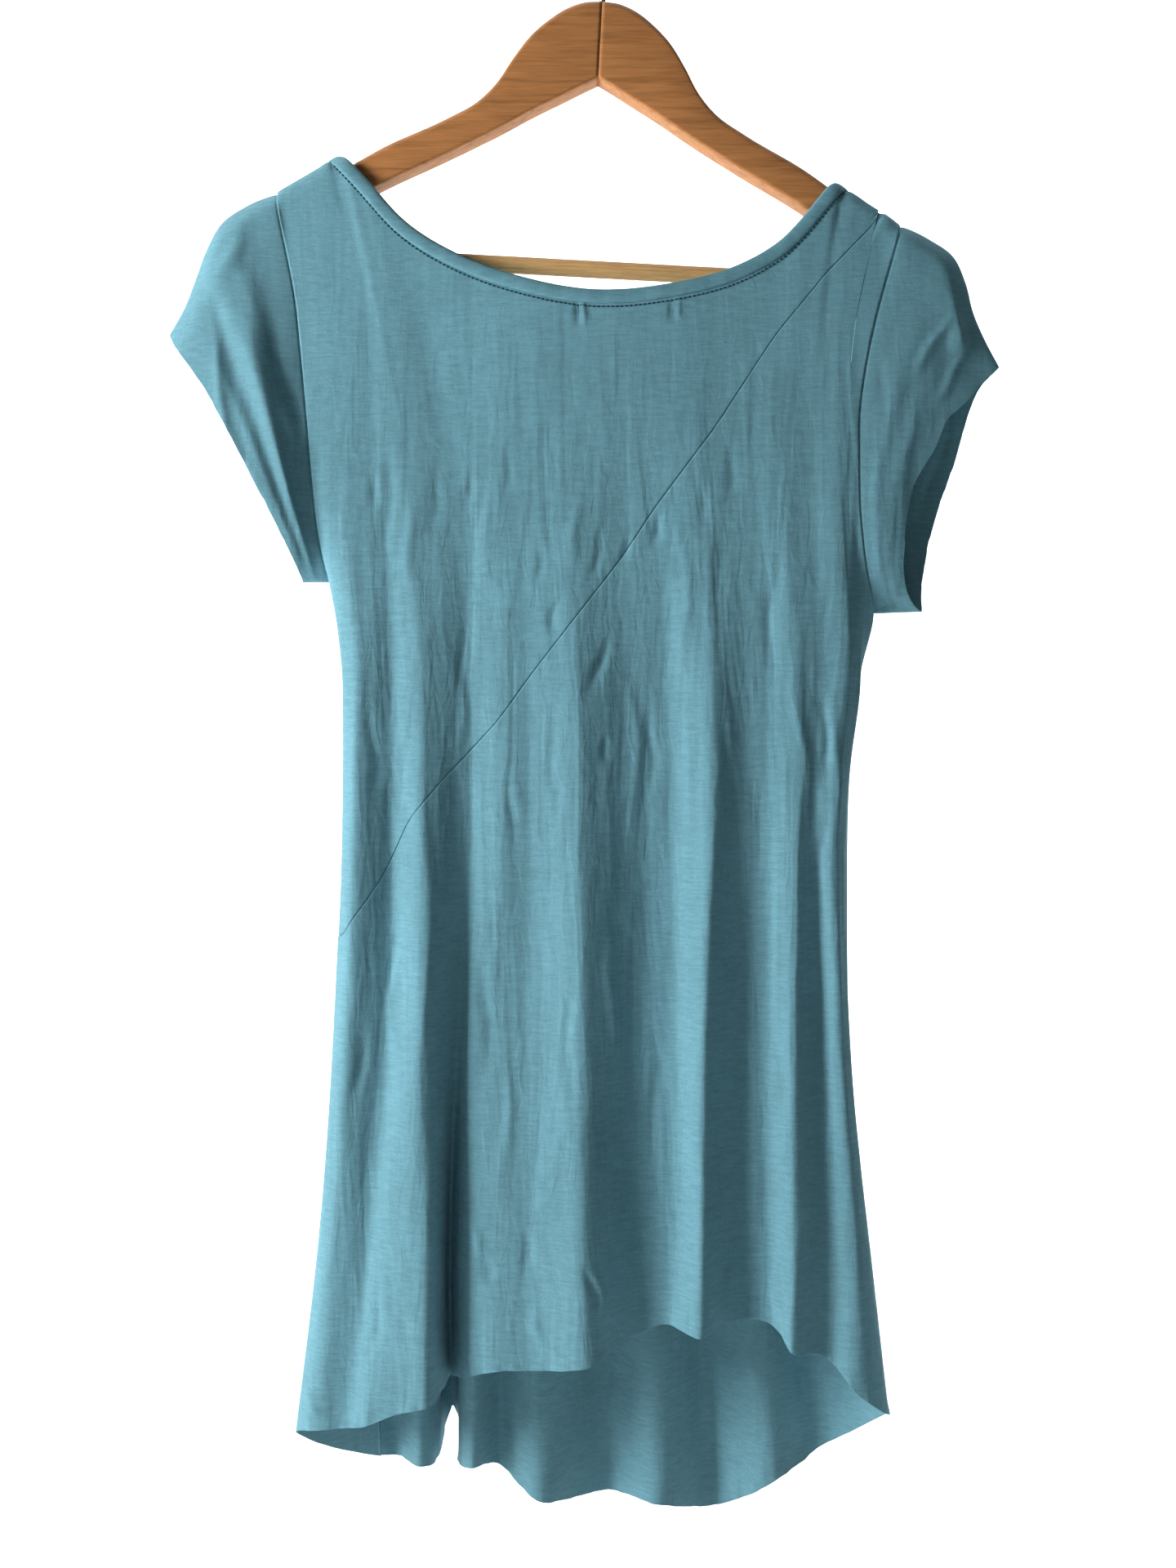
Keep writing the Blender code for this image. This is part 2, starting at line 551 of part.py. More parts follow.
def segments(sheet):
    """Border of a sheet as segments: both ends and both normals."""
    rows, cols = sheet.grid.shape[:2]
    runs = [[(0, j) for j in range(cols)], [(rows - 1, j) for j in range(cols)]]
    if sheet.closed:
        runs = [run + run[:1] for run in runs]
    else:
        runs += [[(i, 0) for i in range(rows)], [(i, cols - 1) for i in range(rows)]]
    pairs = [pair for run in runs for pair in zip(run[:-1], run[1:])]
    first = tuple(np.array([pair[0] for pair in pairs]).T)
    second = tuple(np.array([pair[1] for pair in pairs]).T)
    return sheet.grid[first], sheet.grid[second], sheet.normal[first], sheet.normal[second]


def join_normals(sheets, reach):
    """Give the two sides of every seam one direction for their thickness.

    Along the diagonal seam it is the first sheet's, because the upper back
    ends there in a narrow tip.
    """
    borders = [segments(sheet) for sheet in sheets]
    for n, sheet in enumerate(sheets):
        for cell in sheet.border():
            here = sheet.grid[cell]
            total = sheet.normal[cell].copy()
            for m, (start, end, n_start, n_end) in enumerate(borders):
                if m == n or (n, m) == (0, 1):
                    continue
                weight = LEADING if (n, m) == (1, 0) else 1.0
                run = end - start
                t = ((here - start) * run).sum(axis=1) / np.maximum((run * run).sum(axis=1), 1e-9)
                t = np.clip(t, 0.0, 1.0)[:, None]
                away = np.linalg.norm(start + run * t - here, axis=1)
                best = int(away.argmin())
                if away[best] < reach:
                    total += weight * (n_start[best] * (1 - t[best]) + n_end[best] * t[best])
            sheet.final[cell] = total / max(np.linalg.norm(total), 1e-6)


def grid_normals(grid, closed):
    """Unit normals of a grid of points."""
    up = np.concatenate([2 * grid[:1] - grid[1:2], grid[:-1]])
    down = np.concatenate([grid[1:], 2 * grid[-1:] - grid[-2:-1]])
    left = np.roll(grid, 1, axis=1)
    right = np.roll(grid, -1, axis=1)
    if not closed:
        left[:, 0] = 2 * grid[:, 0] - grid[:, 1]
        right[:, -1] = 2 * grid[:, -1] - grid[:, -2]
    mean = np.zeros_like(grid)
    for a, b in ((left - grid, up - grid), (up - grid, right - grid),
                 (right - grid, down - grid), (down - grid, left - grid)):
        face = np.cross(a, b)
        mean += face / np.maximum(np.linalg.norm(face, axis=2)[:, :, None], 1e-9)
    return mean / np.maximum(np.linalg.norm(mean, axis=2)[:, :, None], 1e-9)


def shell(sheet, mat):
    """Closed wall from a sheet: outer face, inner face and rims."""
    grid = sheet.grid
    rows, cols = grid.shape[:2]
    inner = grid - sheet.final * sheet.thick
    verts = [world(p) for p in grid.reshape(-1, 3)] + [world(p) for p in inner.reshape(-1, 3)]
    base = rows * cols
    faces = []
    wrap = cols if sheet.closed else cols - 1
    last = (rows - 1) * cols
    for j in range(wrap):
        k = (j + 1) % cols
        for i in range(rows - 1):
            a, b = i * cols + j, i * cols + k
            c, d = (i + 1) * cols + k, (i + 1) * cols + j
            if np.linalg.norm(grid[i, j] - grid[i + 1, k]) < np.linalg.norm(grid[i, k] - grid[i + 1, j]):
                halves = ((a, b, c), (a, c, d))
            else:
                halves = ((a, b, d), (b, c, d))
            for half in halves:
                faces.append(half)
                faces.append(tuple(base + v for v in half[::-1]))
        faces.append((base + j, base + k, k, j))
        faces.append((last + j, last + k, base + last + k, base + last + j))
    if not sheet.closed:
        for i in range(rows - 1):
            a, b = i * cols, (i + 1) * cols
            faces.append((a, b, base + b, base + a))
            a, b = a + cols - 1, b + cols - 1
            faces.append((b, a, base + a, base + b))
    return add_object(sheet.name, verts, faces, mat)


def add_object(name, verts, faces, mat):
    """Add one solid with its own material to the scene."""
    mesh = bpy.data.meshes.new(name)
    mesh.from_pydata(verts, [], faces)
    mesh.update()
    obj = bpy.data.objects.new(name, mesh)
    bpy.context.scene.collection.objects.link(obj)
    mesh.materials.append(mat)
    turn_out(obj)
    return obj


def turn_out(obj):
    """Turn a closed solid right side out where its volume comes out negative."""
    mesh = obj.data
    volume = 0.0
    for poly in mesh.polygons:
        v = [mesh.vertices[k].co for k in poly.vertices]
        for k in range(1, len(v) - 1):
            volume += v[0].dot(v[k].cross(v[k + 1]))
    if volume < 0:
        mesh.flip_normals()
        mesh.update()


def toward(grid, edge, inside, distance):
    """Move one edge of a grid towards the row or column beside it."""
    step = grid[inside] - grid[edge]
    size = np.maximum(np.linalg.norm(step, axis=-1)[..., None], 1e-6)
    grid[edge] = grid[edge] + step / size * distance


def diagonal_share(panel, j):
    """How far down a line the diagonal seam crosses it."""
    xs = [p[0] for p in DIAGONAL]
    drops = [p[1] for p in DIAGONAL]
    low, high = 0.0, 3.0
    for _ in range(24):
        mid = (low + high) / 2
        x, _y, drop = panel.point(j, mid)
        if drop < np.interp(x, xs, drops):
            low = mid
        else:
            high = mid
    return (low + high) / 2


def facing(sign):
    """Test for a panel whose outer face looks along y."""
    return lambda grid, normal: normal[:, :, 1].mean() * sign


def away_from_middle(grid, normal):
    """Test for a tube whose outer face looks away from its middle."""
    return ((grid - grid.mean(axis=1, keepdims=True)) * normal).sum()


def back_grids(panel, shares):
    """Outer faces of the upper and the lower back, either side of the diagonal."""
    last = len(panel.lines) - 1
    cuts = [diagonal_share(panel, j) for j in range(last + 1)]
    end = max(j for j in range(last + 1) if cuts[j] > TIP_SHARE)
    gap = 2.8 * SEAM_GAP / (WAIST - UNDER_CHEST)
    upper_shares = [s for s in shares if s < cuts[0] - 0.1] + [cuts[0]]
    upper = []
    for i, s in enumerate(upper_shares):
        row = []
        for j in range(end + 1):
            full = min(1.0, cuts[j])
            part = full * s / cuts[0] + (1.0 - full) * i / (len(upper_shares) - 1)
            row.append(panel.point(j, part * max(cuts[j] - gap, 0.01)))
        upper.append(row)
    lower = []
    for i, s in enumerate(shares):
        row = []
        for j in range(last + 1):
            start = cuts[j] if j <= end else 0.0
            even = min(0.5, start)
            part = (1.0 - even) * s / 5.0 + even * i / (len(shares) - 1)
            row.append(panel.point(j, start + (5.0 - start) * part))
        lower.append(row)
    upper = np.array(upper)
    lower = np.array(lower)
    tip = upper[:, -2] - upper[:, -1]
    upper[:, -1] += tip / np.linalg.norm(tip, axis=1)[:, None] * SEAM_GAP
    return upper, lower


def panel_grid(panel, shares):
    """Outer face of a whole panel."""
    return np.array([[panel.point(j, s) for j in range(len(panel.lines))] for s in shares])


def armhole(back_column, front_column, drop):
    """Ring of an armhole: up the back panel's edge and down the front's."""
    back = [p for p in back_column if p[2] < drop + 0.5][::-1]
    front = [p for p in front_column if p[2] < drop + 0.5]
    low = (back[0] + front[-1]) / 2
    top = (back[-1] + front[0]) / 2
    return np.array([low] + back[1:-1] + [top] + front[1:-1]), len(back) - 1


def cuff_ring(rows, ring, half):
    """Points of a cuff at the same shares of its length as the armhole's."""
    top = min(range(len(rows)), key=lambda k: rows[k][2])
    closed = rows[-3:-1] + rows + rows[1:3]
    fine = [smooth_curve(closed, 2 + k / 24) for k in range(24 * (len(rows) - 1) + 1)]
    loop = np.concatenate([ring, ring[:1]])
    out = []
    for first, last, part in ((0, half, fine[:top * 24 + 1]), (half, len(loop) - 1, fine[top * 24:])):
        shares = running_length(loop[first:last + 1])
        along = running_length(np.array(part))
        for share in shares[:-1] / shares[-1]:
            out.append([np.interp(share * along[-1], along, np.array(part)[:, k]) for k in range(3)])
    return np.array(out)


def running_length(points):
    """Length along a line of points, up to each of them."""
    return np.concatenate([[0.0], np.cumsum(np.linalg.norm(np.diff(points, axis=0), axis=1))])


def sleeve_grid(start, half, cuff, top_line, ridges, steps):
    """Outer face of a sleeve, from the armhole to the cuff."""
    count = len(start)
    end = cuff_ring(cuff, start, half)
    over = even_points(top_line, steps + 1)
    grid = []
    for i in range(steps + 1):
        q = i / steps
        ring = []
        for k in range(count):
            flat = start[k] * (1 - q) + end[k] * q
            low = start[0] * (1 - q) + end[0] * q
            high = start[half] * (1 - q) + end[half] * q
            bow = over[i] - high
            down = min(1.0, max(0.0, (flat[2] - high[2]) / max(low[2] - high[2], 1e-6)))
            side = -1.0 if k < half else 1.0
            p = flat + bow * (1.0 - down) ** 2.2
            body = math.sin(math.pi * down) ** 0.8 if 0.0 < down < 1.0 else 0.0
            between = math.sin(math.pi * q) if 0 < i < steps else 0.0
            swell = SLEEVE_SWELL * between
            for q_top, q_low, height, wide in ridges:
                centre = q_top + (q_low - q_top) * down
                swell += height * math.exp(-((q - centre) / wide) ** 2) * between ** 0.5
            p[1] += side * swell * body
            if i > 0 and k > 0 and p[2] < low[2] - 60.0:
                p = clear_arm(p, side)
            ring.append(p)
        grid.append(ring)
    return np.array(grid)


def binding_grid(back_row, front_row):
    """Outer face of the neck binding, from the panels' edges inwards."""
    rings = []
    for rows, row in ((NECK_BACK, back_row), (NECK_FRONT, front_row)):
        inner, side = neck_path(rows)
        outer = inner + side * (BINDING_WIDE + SEAM_GAP)
        picked = []
        for p in row:
            if outer[0][0] - 0.5 <= p[0] <= outer[-1][0] + 0.5:
                near = int(np.linalg.norm(outer[:, [0, 2]] - p[[0, 2]], axis=1).argmin())
                picked.append((p, side[near]))
        rings.append(picked)
    loop = rings[0] + rings[1][::-1][1:-1]
    grid = []
    for along in (SEAM_GAP, BINDING_WIDE / 2, BINDING_WIDE + SEAM_GAP):
        grid.append([p - s * along for p, s in loop])
    return np.array(grid)


def hanger_point(a, y, b):
    """From the hanger's own frame, rolled about the hook, to x, y, drop."""
    roll = math.radians(ROLL)
    return np.array((a * math.cos(roll) - b * math.sin(roll), y, a * math.sin(roll) + b * math.cos(roll)))


def arm_section(top, bottom, thick):
    """Outline of an arm: y and drop, rounded above and nearly square below."""
    half = thick / 2
    r = min(half * 0.92, (bottom - top) * 0.45)
    out = [(0.0, top)]
    for deg in (30, 60, 90):
        t = math.radians(deg)
        out.append(((half - r) * min(1.0, deg / 30.0) + r * math.sin(t), top + r - r * math.cos(t)))
    out.append((half, bottom - 1.5))
    out.append((half - 1.5, bottom))
    mirror = [(-y, b) for y, b in out[::-1] if y > 1e-9]
    return out + mirror


def make_arm(name, side, mat):
    """One wooden arm, from the mitre in the dome to its rounded tip."""
    verts = []
    ring = 0
    for label, a, top, bottom in ARM_ROWS:
        thick = ARM_THICK * TIP_THINNER.get(label, 1.0)
        section = arm_section(top, bottom, thick)
        ring = len(section)
        for y, b in section:
            verts.append(world(hanger_point(side * a, y, b)))
    faces = []
    for i in range(len(ARM_ROWS) - 1):
        for j in range(ring):
            k = (j + 1) % ring
            faces.append((i * ring + j, i * ring + k, (i + 1) * ring + k, (i + 1) * ring + j))
    faces.append(tuple(range(ring))[::-1])
    last = (len(ARM_ROWS) - 1) * ring
    faces.append(tuple(range(last, last + ring)))
    return add_object(name, verts, faces, mat)


def arm_bottom_reach(b):
    """Distance from the middle at which an arm's bottom edge has this drop."""
    drops = [row[3] for row in ARM_ROWS]
    reach = [row[1] for row in ARM_ROWS]
    return float(np.interp(b, drops, reach))


def make_bar(mat):
    """Round bar whose ends are cut to the slope of the arms."""
    sides = 16
    verts = []
    faces = []
    stations = (-1.0, -0.5, 0.0, 0.5, 1.0)
    for s in stations:
        for k in range(sides):
            t = 2 * math.pi * k / sides
            y = BAR_RADIUS * math.cos(t)
            b = BAR_DROP + BAR_RADIUS * math.sin(t)
            reach = arm_bottom_reach(b) - BAR_END
            verts.append(world(hanger_point(s * reach, y, b)))
    for i in range(len(stations) - 1):
        for k in range(sides):
            m = (k + 1) % sides
            faces.append((i * sides + k, i * sides + m, (i + 1) * sides + m, (i + 1) * sides + k))
    faces.append(tuple(range(sides))[::-1])
    faces.append(tuple(range(4 * sides, 5 * sides)))
    return add_object("hanger_bar", verts, faces, mat)


def hook_path():
    """Centre line of the hook's wire, in the hanger's frame: a, b."""
    points = [(0.0, ARM_ROWS[0][2] - 0.5), (0.0, 58.0), (0.0, 50.0), (0.5, 43.5), (3.0, 37.5), (8.0, 32.0)]
    centre = HOOK_WIRE + HOOK_BOW
    for deg in (50, 25, 0, -30, -60, -90, -120, -150, -180, -200):
        t = math.radians(deg)
        points.append((HOOK_BOW * math.cos(t), centre + HOOK_BOW * math.sin(t)))
    return points


def make_hook(mat):
    """Wire hook that rises from the dome and opens to the left."""
    path = [np.array((a, 0.0, b)) for a, b in hook_path()]
    sides = 8
    verts = []
    faces = []
    for i, p in enumerate(path):
        ahead = path[min(i + 1, len(path) - 1)] - path[max(i - 1, 0)]
        ahead /= np.linalg.norm(ahead)
        flat = np.cross(ahead, (0.0, 1.0, 0.0))
        for k in range(sides):
            t = 2 * math.pi * k / sides
            q = p + (flat * math.cos(t) + np.array((0.0, 1.0, 0.0)) * math.sin(t)) * HOOK_WIRE
            verts.append(world(hanger_point(q[0], q[1], q[2])))
    for i in range(len(path) - 1):
        for k in range(sides):
            m = (k + 1) % sides
            faces.append((i * sides + k, i * sides + m, (i + 1) * sides + m, (i + 1) * sides + k))
    faces.append(tuple(range(sides))[::-1])
    faces.append(tuple(range((len(path) - 1) * sides, len(path) * sides)))
    return add_object("hook", verts, faces, mat)


def make_cloth():
    """All cloth pieces; their seams share points and thickness directions."""
    back = Panel("back", ACROSS)
    front = Panel("front", ACROSS)
    shares = row_shares()
    upper, lower = back_grids(back, shares)
    far = panel_grid(front, shares)
    ring_left, half_left = armhole(upper[:, 0], far[:, 0], LEFT_UNDERARM)
    ring_right, half_right = armhole(lower[:, -1], far[:, -1], RIGHT_UNDERARM)
    left = sleeve_grid(ring_left, half_left, CUFF_LEFT, TOP_LEFT, RIDGES_LEFT, SLEEVE_ALONG)
    right = sleeve_grid(ring_right, half_right, CUFF_RIGHT, TOP_RIGHT, RIDGES_RIGHT, SLEEVE_ALONG)
    neck = binding_grid(upper[0], far[0])
    half_gap = SEAM_GAP * 0.8
    for grid in (upper, lower, far):
        toward(grid, (slice(None), 0), (slice(None), 1), half_gap)
    for grid in (lower, far):
        toward(grid, (slice(None), -1), (slice(None), -2), half_gap)
    for grid in (left, right):
        toward(grid, 0, 1, half_gap)
    sheets = [
        Sheet("back_upper", upper, False, CLOTH, facing(-1.0)),
        Sheet("back_lower", lower, False, CLOTH, facing(-1.0)),
        Sheet("front", far, False, CLOTH, facing(1.0)),
        Sheet("sleeve_left", left, True, CLOTH, away_from_middle),
        Sheet("sleeve_right", right, True, CLOTH, away_from_middle),
        Sheet("neck_binding", neck, True, BINDING_THICK, binding_side),
    ]
    join_normals(sheets, SEAM_REACH)
    for sheet in sheets:
        colour = TEAL_BINDING if sheet.name == "neck_binding" else TEAL
        shell(sheet, material(sheet.name + "_cloth", colour, 0.85))


def binding_side(grid, normal):
    """Test for the binding, whose outer face looks away from the hanger."""
    middle = grid.mean(axis=(0, 1))
    return ((grid - middle)[:, :, 1] * normal[:, :, 1]).sum()


def main():
    clear_scene()
    make_cloth()
    make_arm("hanger_arm_left", -1.0, material("arm_left_wood", WOOD, 0.45))
    make_arm("hanger_arm_right", 1.0, material("arm_right_wood", WOOD, 0.45))
    make_bar(material("bar_wood", BAR_WOOD, 0.55))
    make_hook(material("hook_steel", STEEL, 0.3, 1.0))


main()
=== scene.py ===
"""Knit top on a wooden hanger, seen from its back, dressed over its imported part.

Tables are in millimetres: x runs to the right, y away from the viewer, drop
is the distance below the point where the hook bears (the origin).
"""
import math

import bpy
import numpy as np
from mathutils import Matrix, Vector


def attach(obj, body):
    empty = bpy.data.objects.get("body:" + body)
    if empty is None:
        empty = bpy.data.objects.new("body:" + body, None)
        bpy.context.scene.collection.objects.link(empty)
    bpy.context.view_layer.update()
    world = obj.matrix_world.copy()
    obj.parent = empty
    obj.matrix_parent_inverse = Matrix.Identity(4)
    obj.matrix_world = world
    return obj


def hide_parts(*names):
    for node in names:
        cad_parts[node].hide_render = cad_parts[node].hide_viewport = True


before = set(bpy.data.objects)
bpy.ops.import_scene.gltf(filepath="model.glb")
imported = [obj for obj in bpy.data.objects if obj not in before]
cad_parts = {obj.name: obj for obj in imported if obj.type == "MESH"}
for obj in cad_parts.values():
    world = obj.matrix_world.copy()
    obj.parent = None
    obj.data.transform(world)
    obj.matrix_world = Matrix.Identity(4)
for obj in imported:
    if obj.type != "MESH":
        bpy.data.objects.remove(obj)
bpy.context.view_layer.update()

MM = 0.001
BODY = "root"

# Fine mesh
WALL = 0.9           # thickness of the jersey
EDGE_STEPS = (0.0, 0.35, 0.8, 1.5, 2.6)   # rows of mesh beside a seam
FINE = 12            # points on a line between two rows of the coarse grid
SEAM_DEPTH = 0.6     # how far a seam sinks in
SEAM_WIDE = 0.5      # half width of that groove

SEAM_GAP = 0.3       # space between two pieces at a seam
BINDING_WIDE = 7.0   # width of the neck binding
ARM_WRAP = 9.0       # radius of the cloth where it goes over the hanger
UNDER_CHEST = 353.0  # drop of the chest line
RIBS = 450.0         # drop of a line just below both underarms
WAIST = 512.0        # drop of the waist line
HIP = 672.0          # drop of the hip line
LOW = 786.0          # drop of the last line above the hem

# Hanger sizes
ROLL = 3.1           # degrees that the hanger hangs out of level
ARM_THICK = 13.0     # thickness of the arms
ARM_REACH = 211.0    # half width of the hanger
MITRE_X = -9.0       # x at which the two arms meet
ARM_EDGE = 1.6       # radius of the arms' lower edges
BAR_RADIUS = 4.8
BAR_DROP = 221.0
BAR_END = 0.8        # space between the bar's ends and the arms
WRAP_DEPTH = 34.0    # how far below an arm's middle the cloth stays off it
HOOK_WIRE = 1.7      # radius of the hook's wire
HOOK_BOW = 17.0      # radius of the hook's bow, to the wire's centre

NECK_LEFT = -160.9   # x where the left shoulder meets the binding
NECK_RIGHT = 137.3   # x where the right shoulder meets the binding
SEAM_REACH = 1.6     # edges closer than this share a thickness direction
LEADING = 30.0       # weight of the upper back's direction at the diagonal
SLEEVE_SWELL = 1.2   # how far a sleeve stands out between its ends
TIP_SHARE = 0.02     # the upper back ends where it would be shorter than this
LEFT_UNDERARM = 401.0
RIGHT_UNDERARM = 419.0
SHOULDER_LEFT = (-0.88, 0.0, 0.47)   # way the left shoulder runs
SHOULDER_RIGHT = (0.80, 0.0, 0.60)   # way the right shoulder runs

ACROSS = 2           # steps from one fold line to the next
OVER_STEPS = (1.2, 3.2, 6.5)         # rows over the hanger's arm, below the top edge
DOWN_STEPS = (12.0, 30.0, 70.0)      # rows below them; the first may still touch the arm
SLEEVE_ALONG = 6     # steps from armhole to cuff
TOP_STEPS = (0.0, 0.008, 0.025, 0.056, 0.115, 0.21, 0.35, 0.53, 0.76)
LOWER_STEPS = (1.65, 2.0, 2.4, 2.8, 3.2, 3.6, 4.0, 4.35, 4.7, 5.0)

# Hanger arm, in the hanger's own frame: distance from the middle, drop of
# the top edge, drop of the bottom edge
ARM_ROWS = [
    ("middle", 0.15, 68.2, 113.2),
    ("dome", 10, 69.2, 118.6),
    ("dome_side", 20, 73.2, 124.3),
    ("dome_edge", 30, 80.3, 129.8),
    ("neck_top", 40, 90, 135.6),
    ("neck", 49, 103, 141.2),
    ("neck_foot", 58, 118, 146.6),
    ("bend", 68, 129, 152.2),
    ("inner", 85, 139.8, 161.6),
    ("mid", 120, 158, 180.2),
    ("outer", 150, 177.2, 199.4),
    ("far", 175, 191.8, 214.6),
    ("shoulder", 192, 202.6, 225.2),
    ("round", 203, 211.5, 230),
    ("tip", ARM_REACH, 221.5, 230.2),
]

# Share of the arm's thickness that is left near its rounded tip
TIP_THINNER = {"round": 0.94, "tip": 0.62}

# Shoulder tips: x, drop
TIP_LEFT = (-191.0, 177.0)
TIP_RIGHT = (168.0, 195.5)

# Inner edge of the neck binding on the back, left to right: x, y, drop
NECK_BACK = [
    ("apex_left", -154.4, 0, 156),
    ("over_left", -150, -8, 160),
    ("front_left", -137, -10.2, 174),
    ("slope_left", -116, -10.5, 197),
    ("low_left", -84, -12, 217),
    ("bowl_left", -50, -13.5, 229.5),
    ("bowl", -8, -14, 237),
    ("bowl_right", 34, -13.6, 233.5),
    ("low_right", 72, -12.2, 223),
    ("slope_right", 98, -10.8, 207.5),
    ("front_right", 116, -10.3, 187.5),
    ("over_right", 127, -8, 174.5),
    ("apex_right", 131.5, 0, 172),
]

# The same on the front, where the neckline is cut a little deeper
NECK_FRONT = [
    ("apex_left", -154.4, 0, 156),
    ("over_left", -150.5, 8, 160.5),
    ("back_left", -138, 10.2, 177),
    ("slope_left", -117, 10.5, 207),
    ("low_left", -86, 12, 235),
    ("bowl_left", -51, 13.5, 253),
    ("bowl", -8, 14, 261),
    ("bowl_right", 35, 13.6, 256),
    ("low_right", 74, 12.2, 240),
    ("slope_right", 100, 10.8, 217),
    ("back_right", 117.5, 10.3, 190.5),
    ("over_right", 127.5, 8, 175),
    ("apex_right", 131.5, 0, 172),
]

# Left edge of the body: drop, x and y on the back panel, y on the front.
# The armhole runs down to the underarm at 401, the side seam from there.
LEFT_SEAM = [
    ("tip", 177, -191, -0.2, 0.2),
    ("over", 184, -189.5, -8.6, 8.6),
    ("high", 207, -185, -9.6, 9.6),
    ("upper", 244, -178, -10.2, 10.2),
    ("middle", 287, -174, -10.9, 10.9),
    ("lower", 329, -170, -11.3, 11.3),
    ("chest", 353, -168, -11.2, 11.5),
    ("near_underarm", 378, -165, -9.5, 9.5),
    ("underarm_bend", 392, -162.8, -6, 6),
    ("underarm", 401, -161, 0, 0),
    ("side_top", 442, -154, 3, 3.3),
    ("waist", 512, -150.5, 7, 7.3),
    ("hip_top", 603, -150, 13, 13.3),
    ("hip", 672, -148, 19, 19.3),
    ("low", 786, -143, 29, 29.3),
    ("hem", 921, -137.2, 36, 36.3),
]

# Right edge of the body, with the underarm at 419
RIGHT_SEAM = [
    ("tip", 195.5, 168, -0.2, 0.2),
    ("over", 202, 165.5, -8.6, 8.6),
    ("high", 220, 160.5, -9.8, 9.8),
    ("upper", 239, 155, -10.1, 10.1),
    ("middle", 284, 145, -11.4, 11.4),
    ("lower", 338, 141, -12.7, 12.7),
    ("chest", 353, 141.8, -12.8, 12.8),
    ("near_underarm", 397, 147, -9.5, 9.5),
    ("underarm_bend", 410.5, 150.5, -6, 6),
    ("underarm", 419, 153, 0, 0),
    ("side_top", 441, 147.5, 2, 2.3),
    ("ribs", 474, 142, 2, 2.3),
    ("waist", 512, 139, 2, 2.3),
    ("hip_top", 592, 138, 2, 2.3),
    ("hip", 672, 139, 2, 2.3),
    ("thigh", 745, 146, 2, 2.3),
    ("low", 786, 151, 2, 2.3),
    ("hem", 879, 161, 0, 0.3),
]

# Fold lines of the back, left to right. Each has the x of its top end, then
# x and y at the chest, waist, hip and low lines, and x, y and drop at the
# hem. A crest has a y nearer the viewer than the valleys beside it.
BACK_FOLDS = [
    ("left_turn", -187.5, -165.5, -11.8, -152.5, 2.5, -156, 8, -163.5, 12, -172, 18, 905),
    ("left_edge", -183.5, -162, -12.4, -152.5, -4.5, -159, -4, -168.5, -3, -181.5, 1, 890),
    ("edge_crest", -174, -150, -13.5, -143, -16.5, -148, -19, -157, -20, -167, -22, 879.5),
    ("left_valley", -160.9, -130, -12.8, -123, -11, -126, -13, -137, -18, -147.5, -20, 878),
    ("left_crest", -147, -114, -14.2, -105, -18, -112, -24, -127.5, -25, -135, -30, 874),
    ("split_valley", -136, -106, -13.9, -99, -16.2, -106, -26, -117.5, -28, -118.5, -29, 866),
    ("split_crest", -126, -97, -13.3, -92, -13.6, -99, -23, -101.5, -33, -102, -36, 861.5),
    ("deep_valley", -115, -85, -12.3, -78, -9.5, -87, -5, -92, 6, -91.5, 8, 860),
    ("deep_lip", -96, -76, -12.9, -72, -11, -79.5, -12.5, -81, -18, -80.5, -21, 850),
    ("mid_crest", -75, -63, -13.9, -58, -14, -64, -14.5, -63, -22, -62.5, -25, 844.5),
    ("mid_valley", -56, -52, -13.6, -46, -13, -48, -14, -44, -22.5, -43.5, -25.5, 844),
    ("centre_rise", -46, -38, -13.9, -32, -16.2, -31, -18, -27.5, -28, -27, -31, 842.5),
    ("centre_crest", -36, -23, -14.3, -17.5, -19, -16.5, -22.5, -14, -32, -12.5, -35, 839.5),
    ("centre_foot", -14, 0, -13.8, 10, -11.2, 8, -10.5, 8.5, -16, 8.5, -18, 831.5),
    ("centre_valley", 8, 24, -13.3, 34, -9, 37, -8, 38, -14.5, 32, -15, 821.5),
    ("right_crest", 50, 52, -14.1, 58, -20, 53, -22.5, 51.5, -29, 51.5, -31, 825.5),
    ("right_foot", 65, 70, -13.5, 74, -13.8, 66, -11, 63, -17, 61.5, -18, 822),
    ("right_valley", 80, 82, -13.2, 87, -13, 88, -9.5, 91.5, -14.5, 91, -15, 820.5),
    ("outer_crest", 103, 97, -14.1, 106, -18, 104, -20, 103, -27, 101.5, -29, 835),
    ("outer_valley", 122, 115, -13.3, 117, -15.5, 120, -9.5, 122, -14, 120, -15, 837),
    ("side_crest", 137.3, 128, -14.1, 127.5, -16.8, 130, -16, 137, -21, 136.5, -24, 856.5),
    ("side_edge", 157, 137.5, -13.2, 137, -7, 138, -8, 149, -10, 159.5, -9, 876),
]

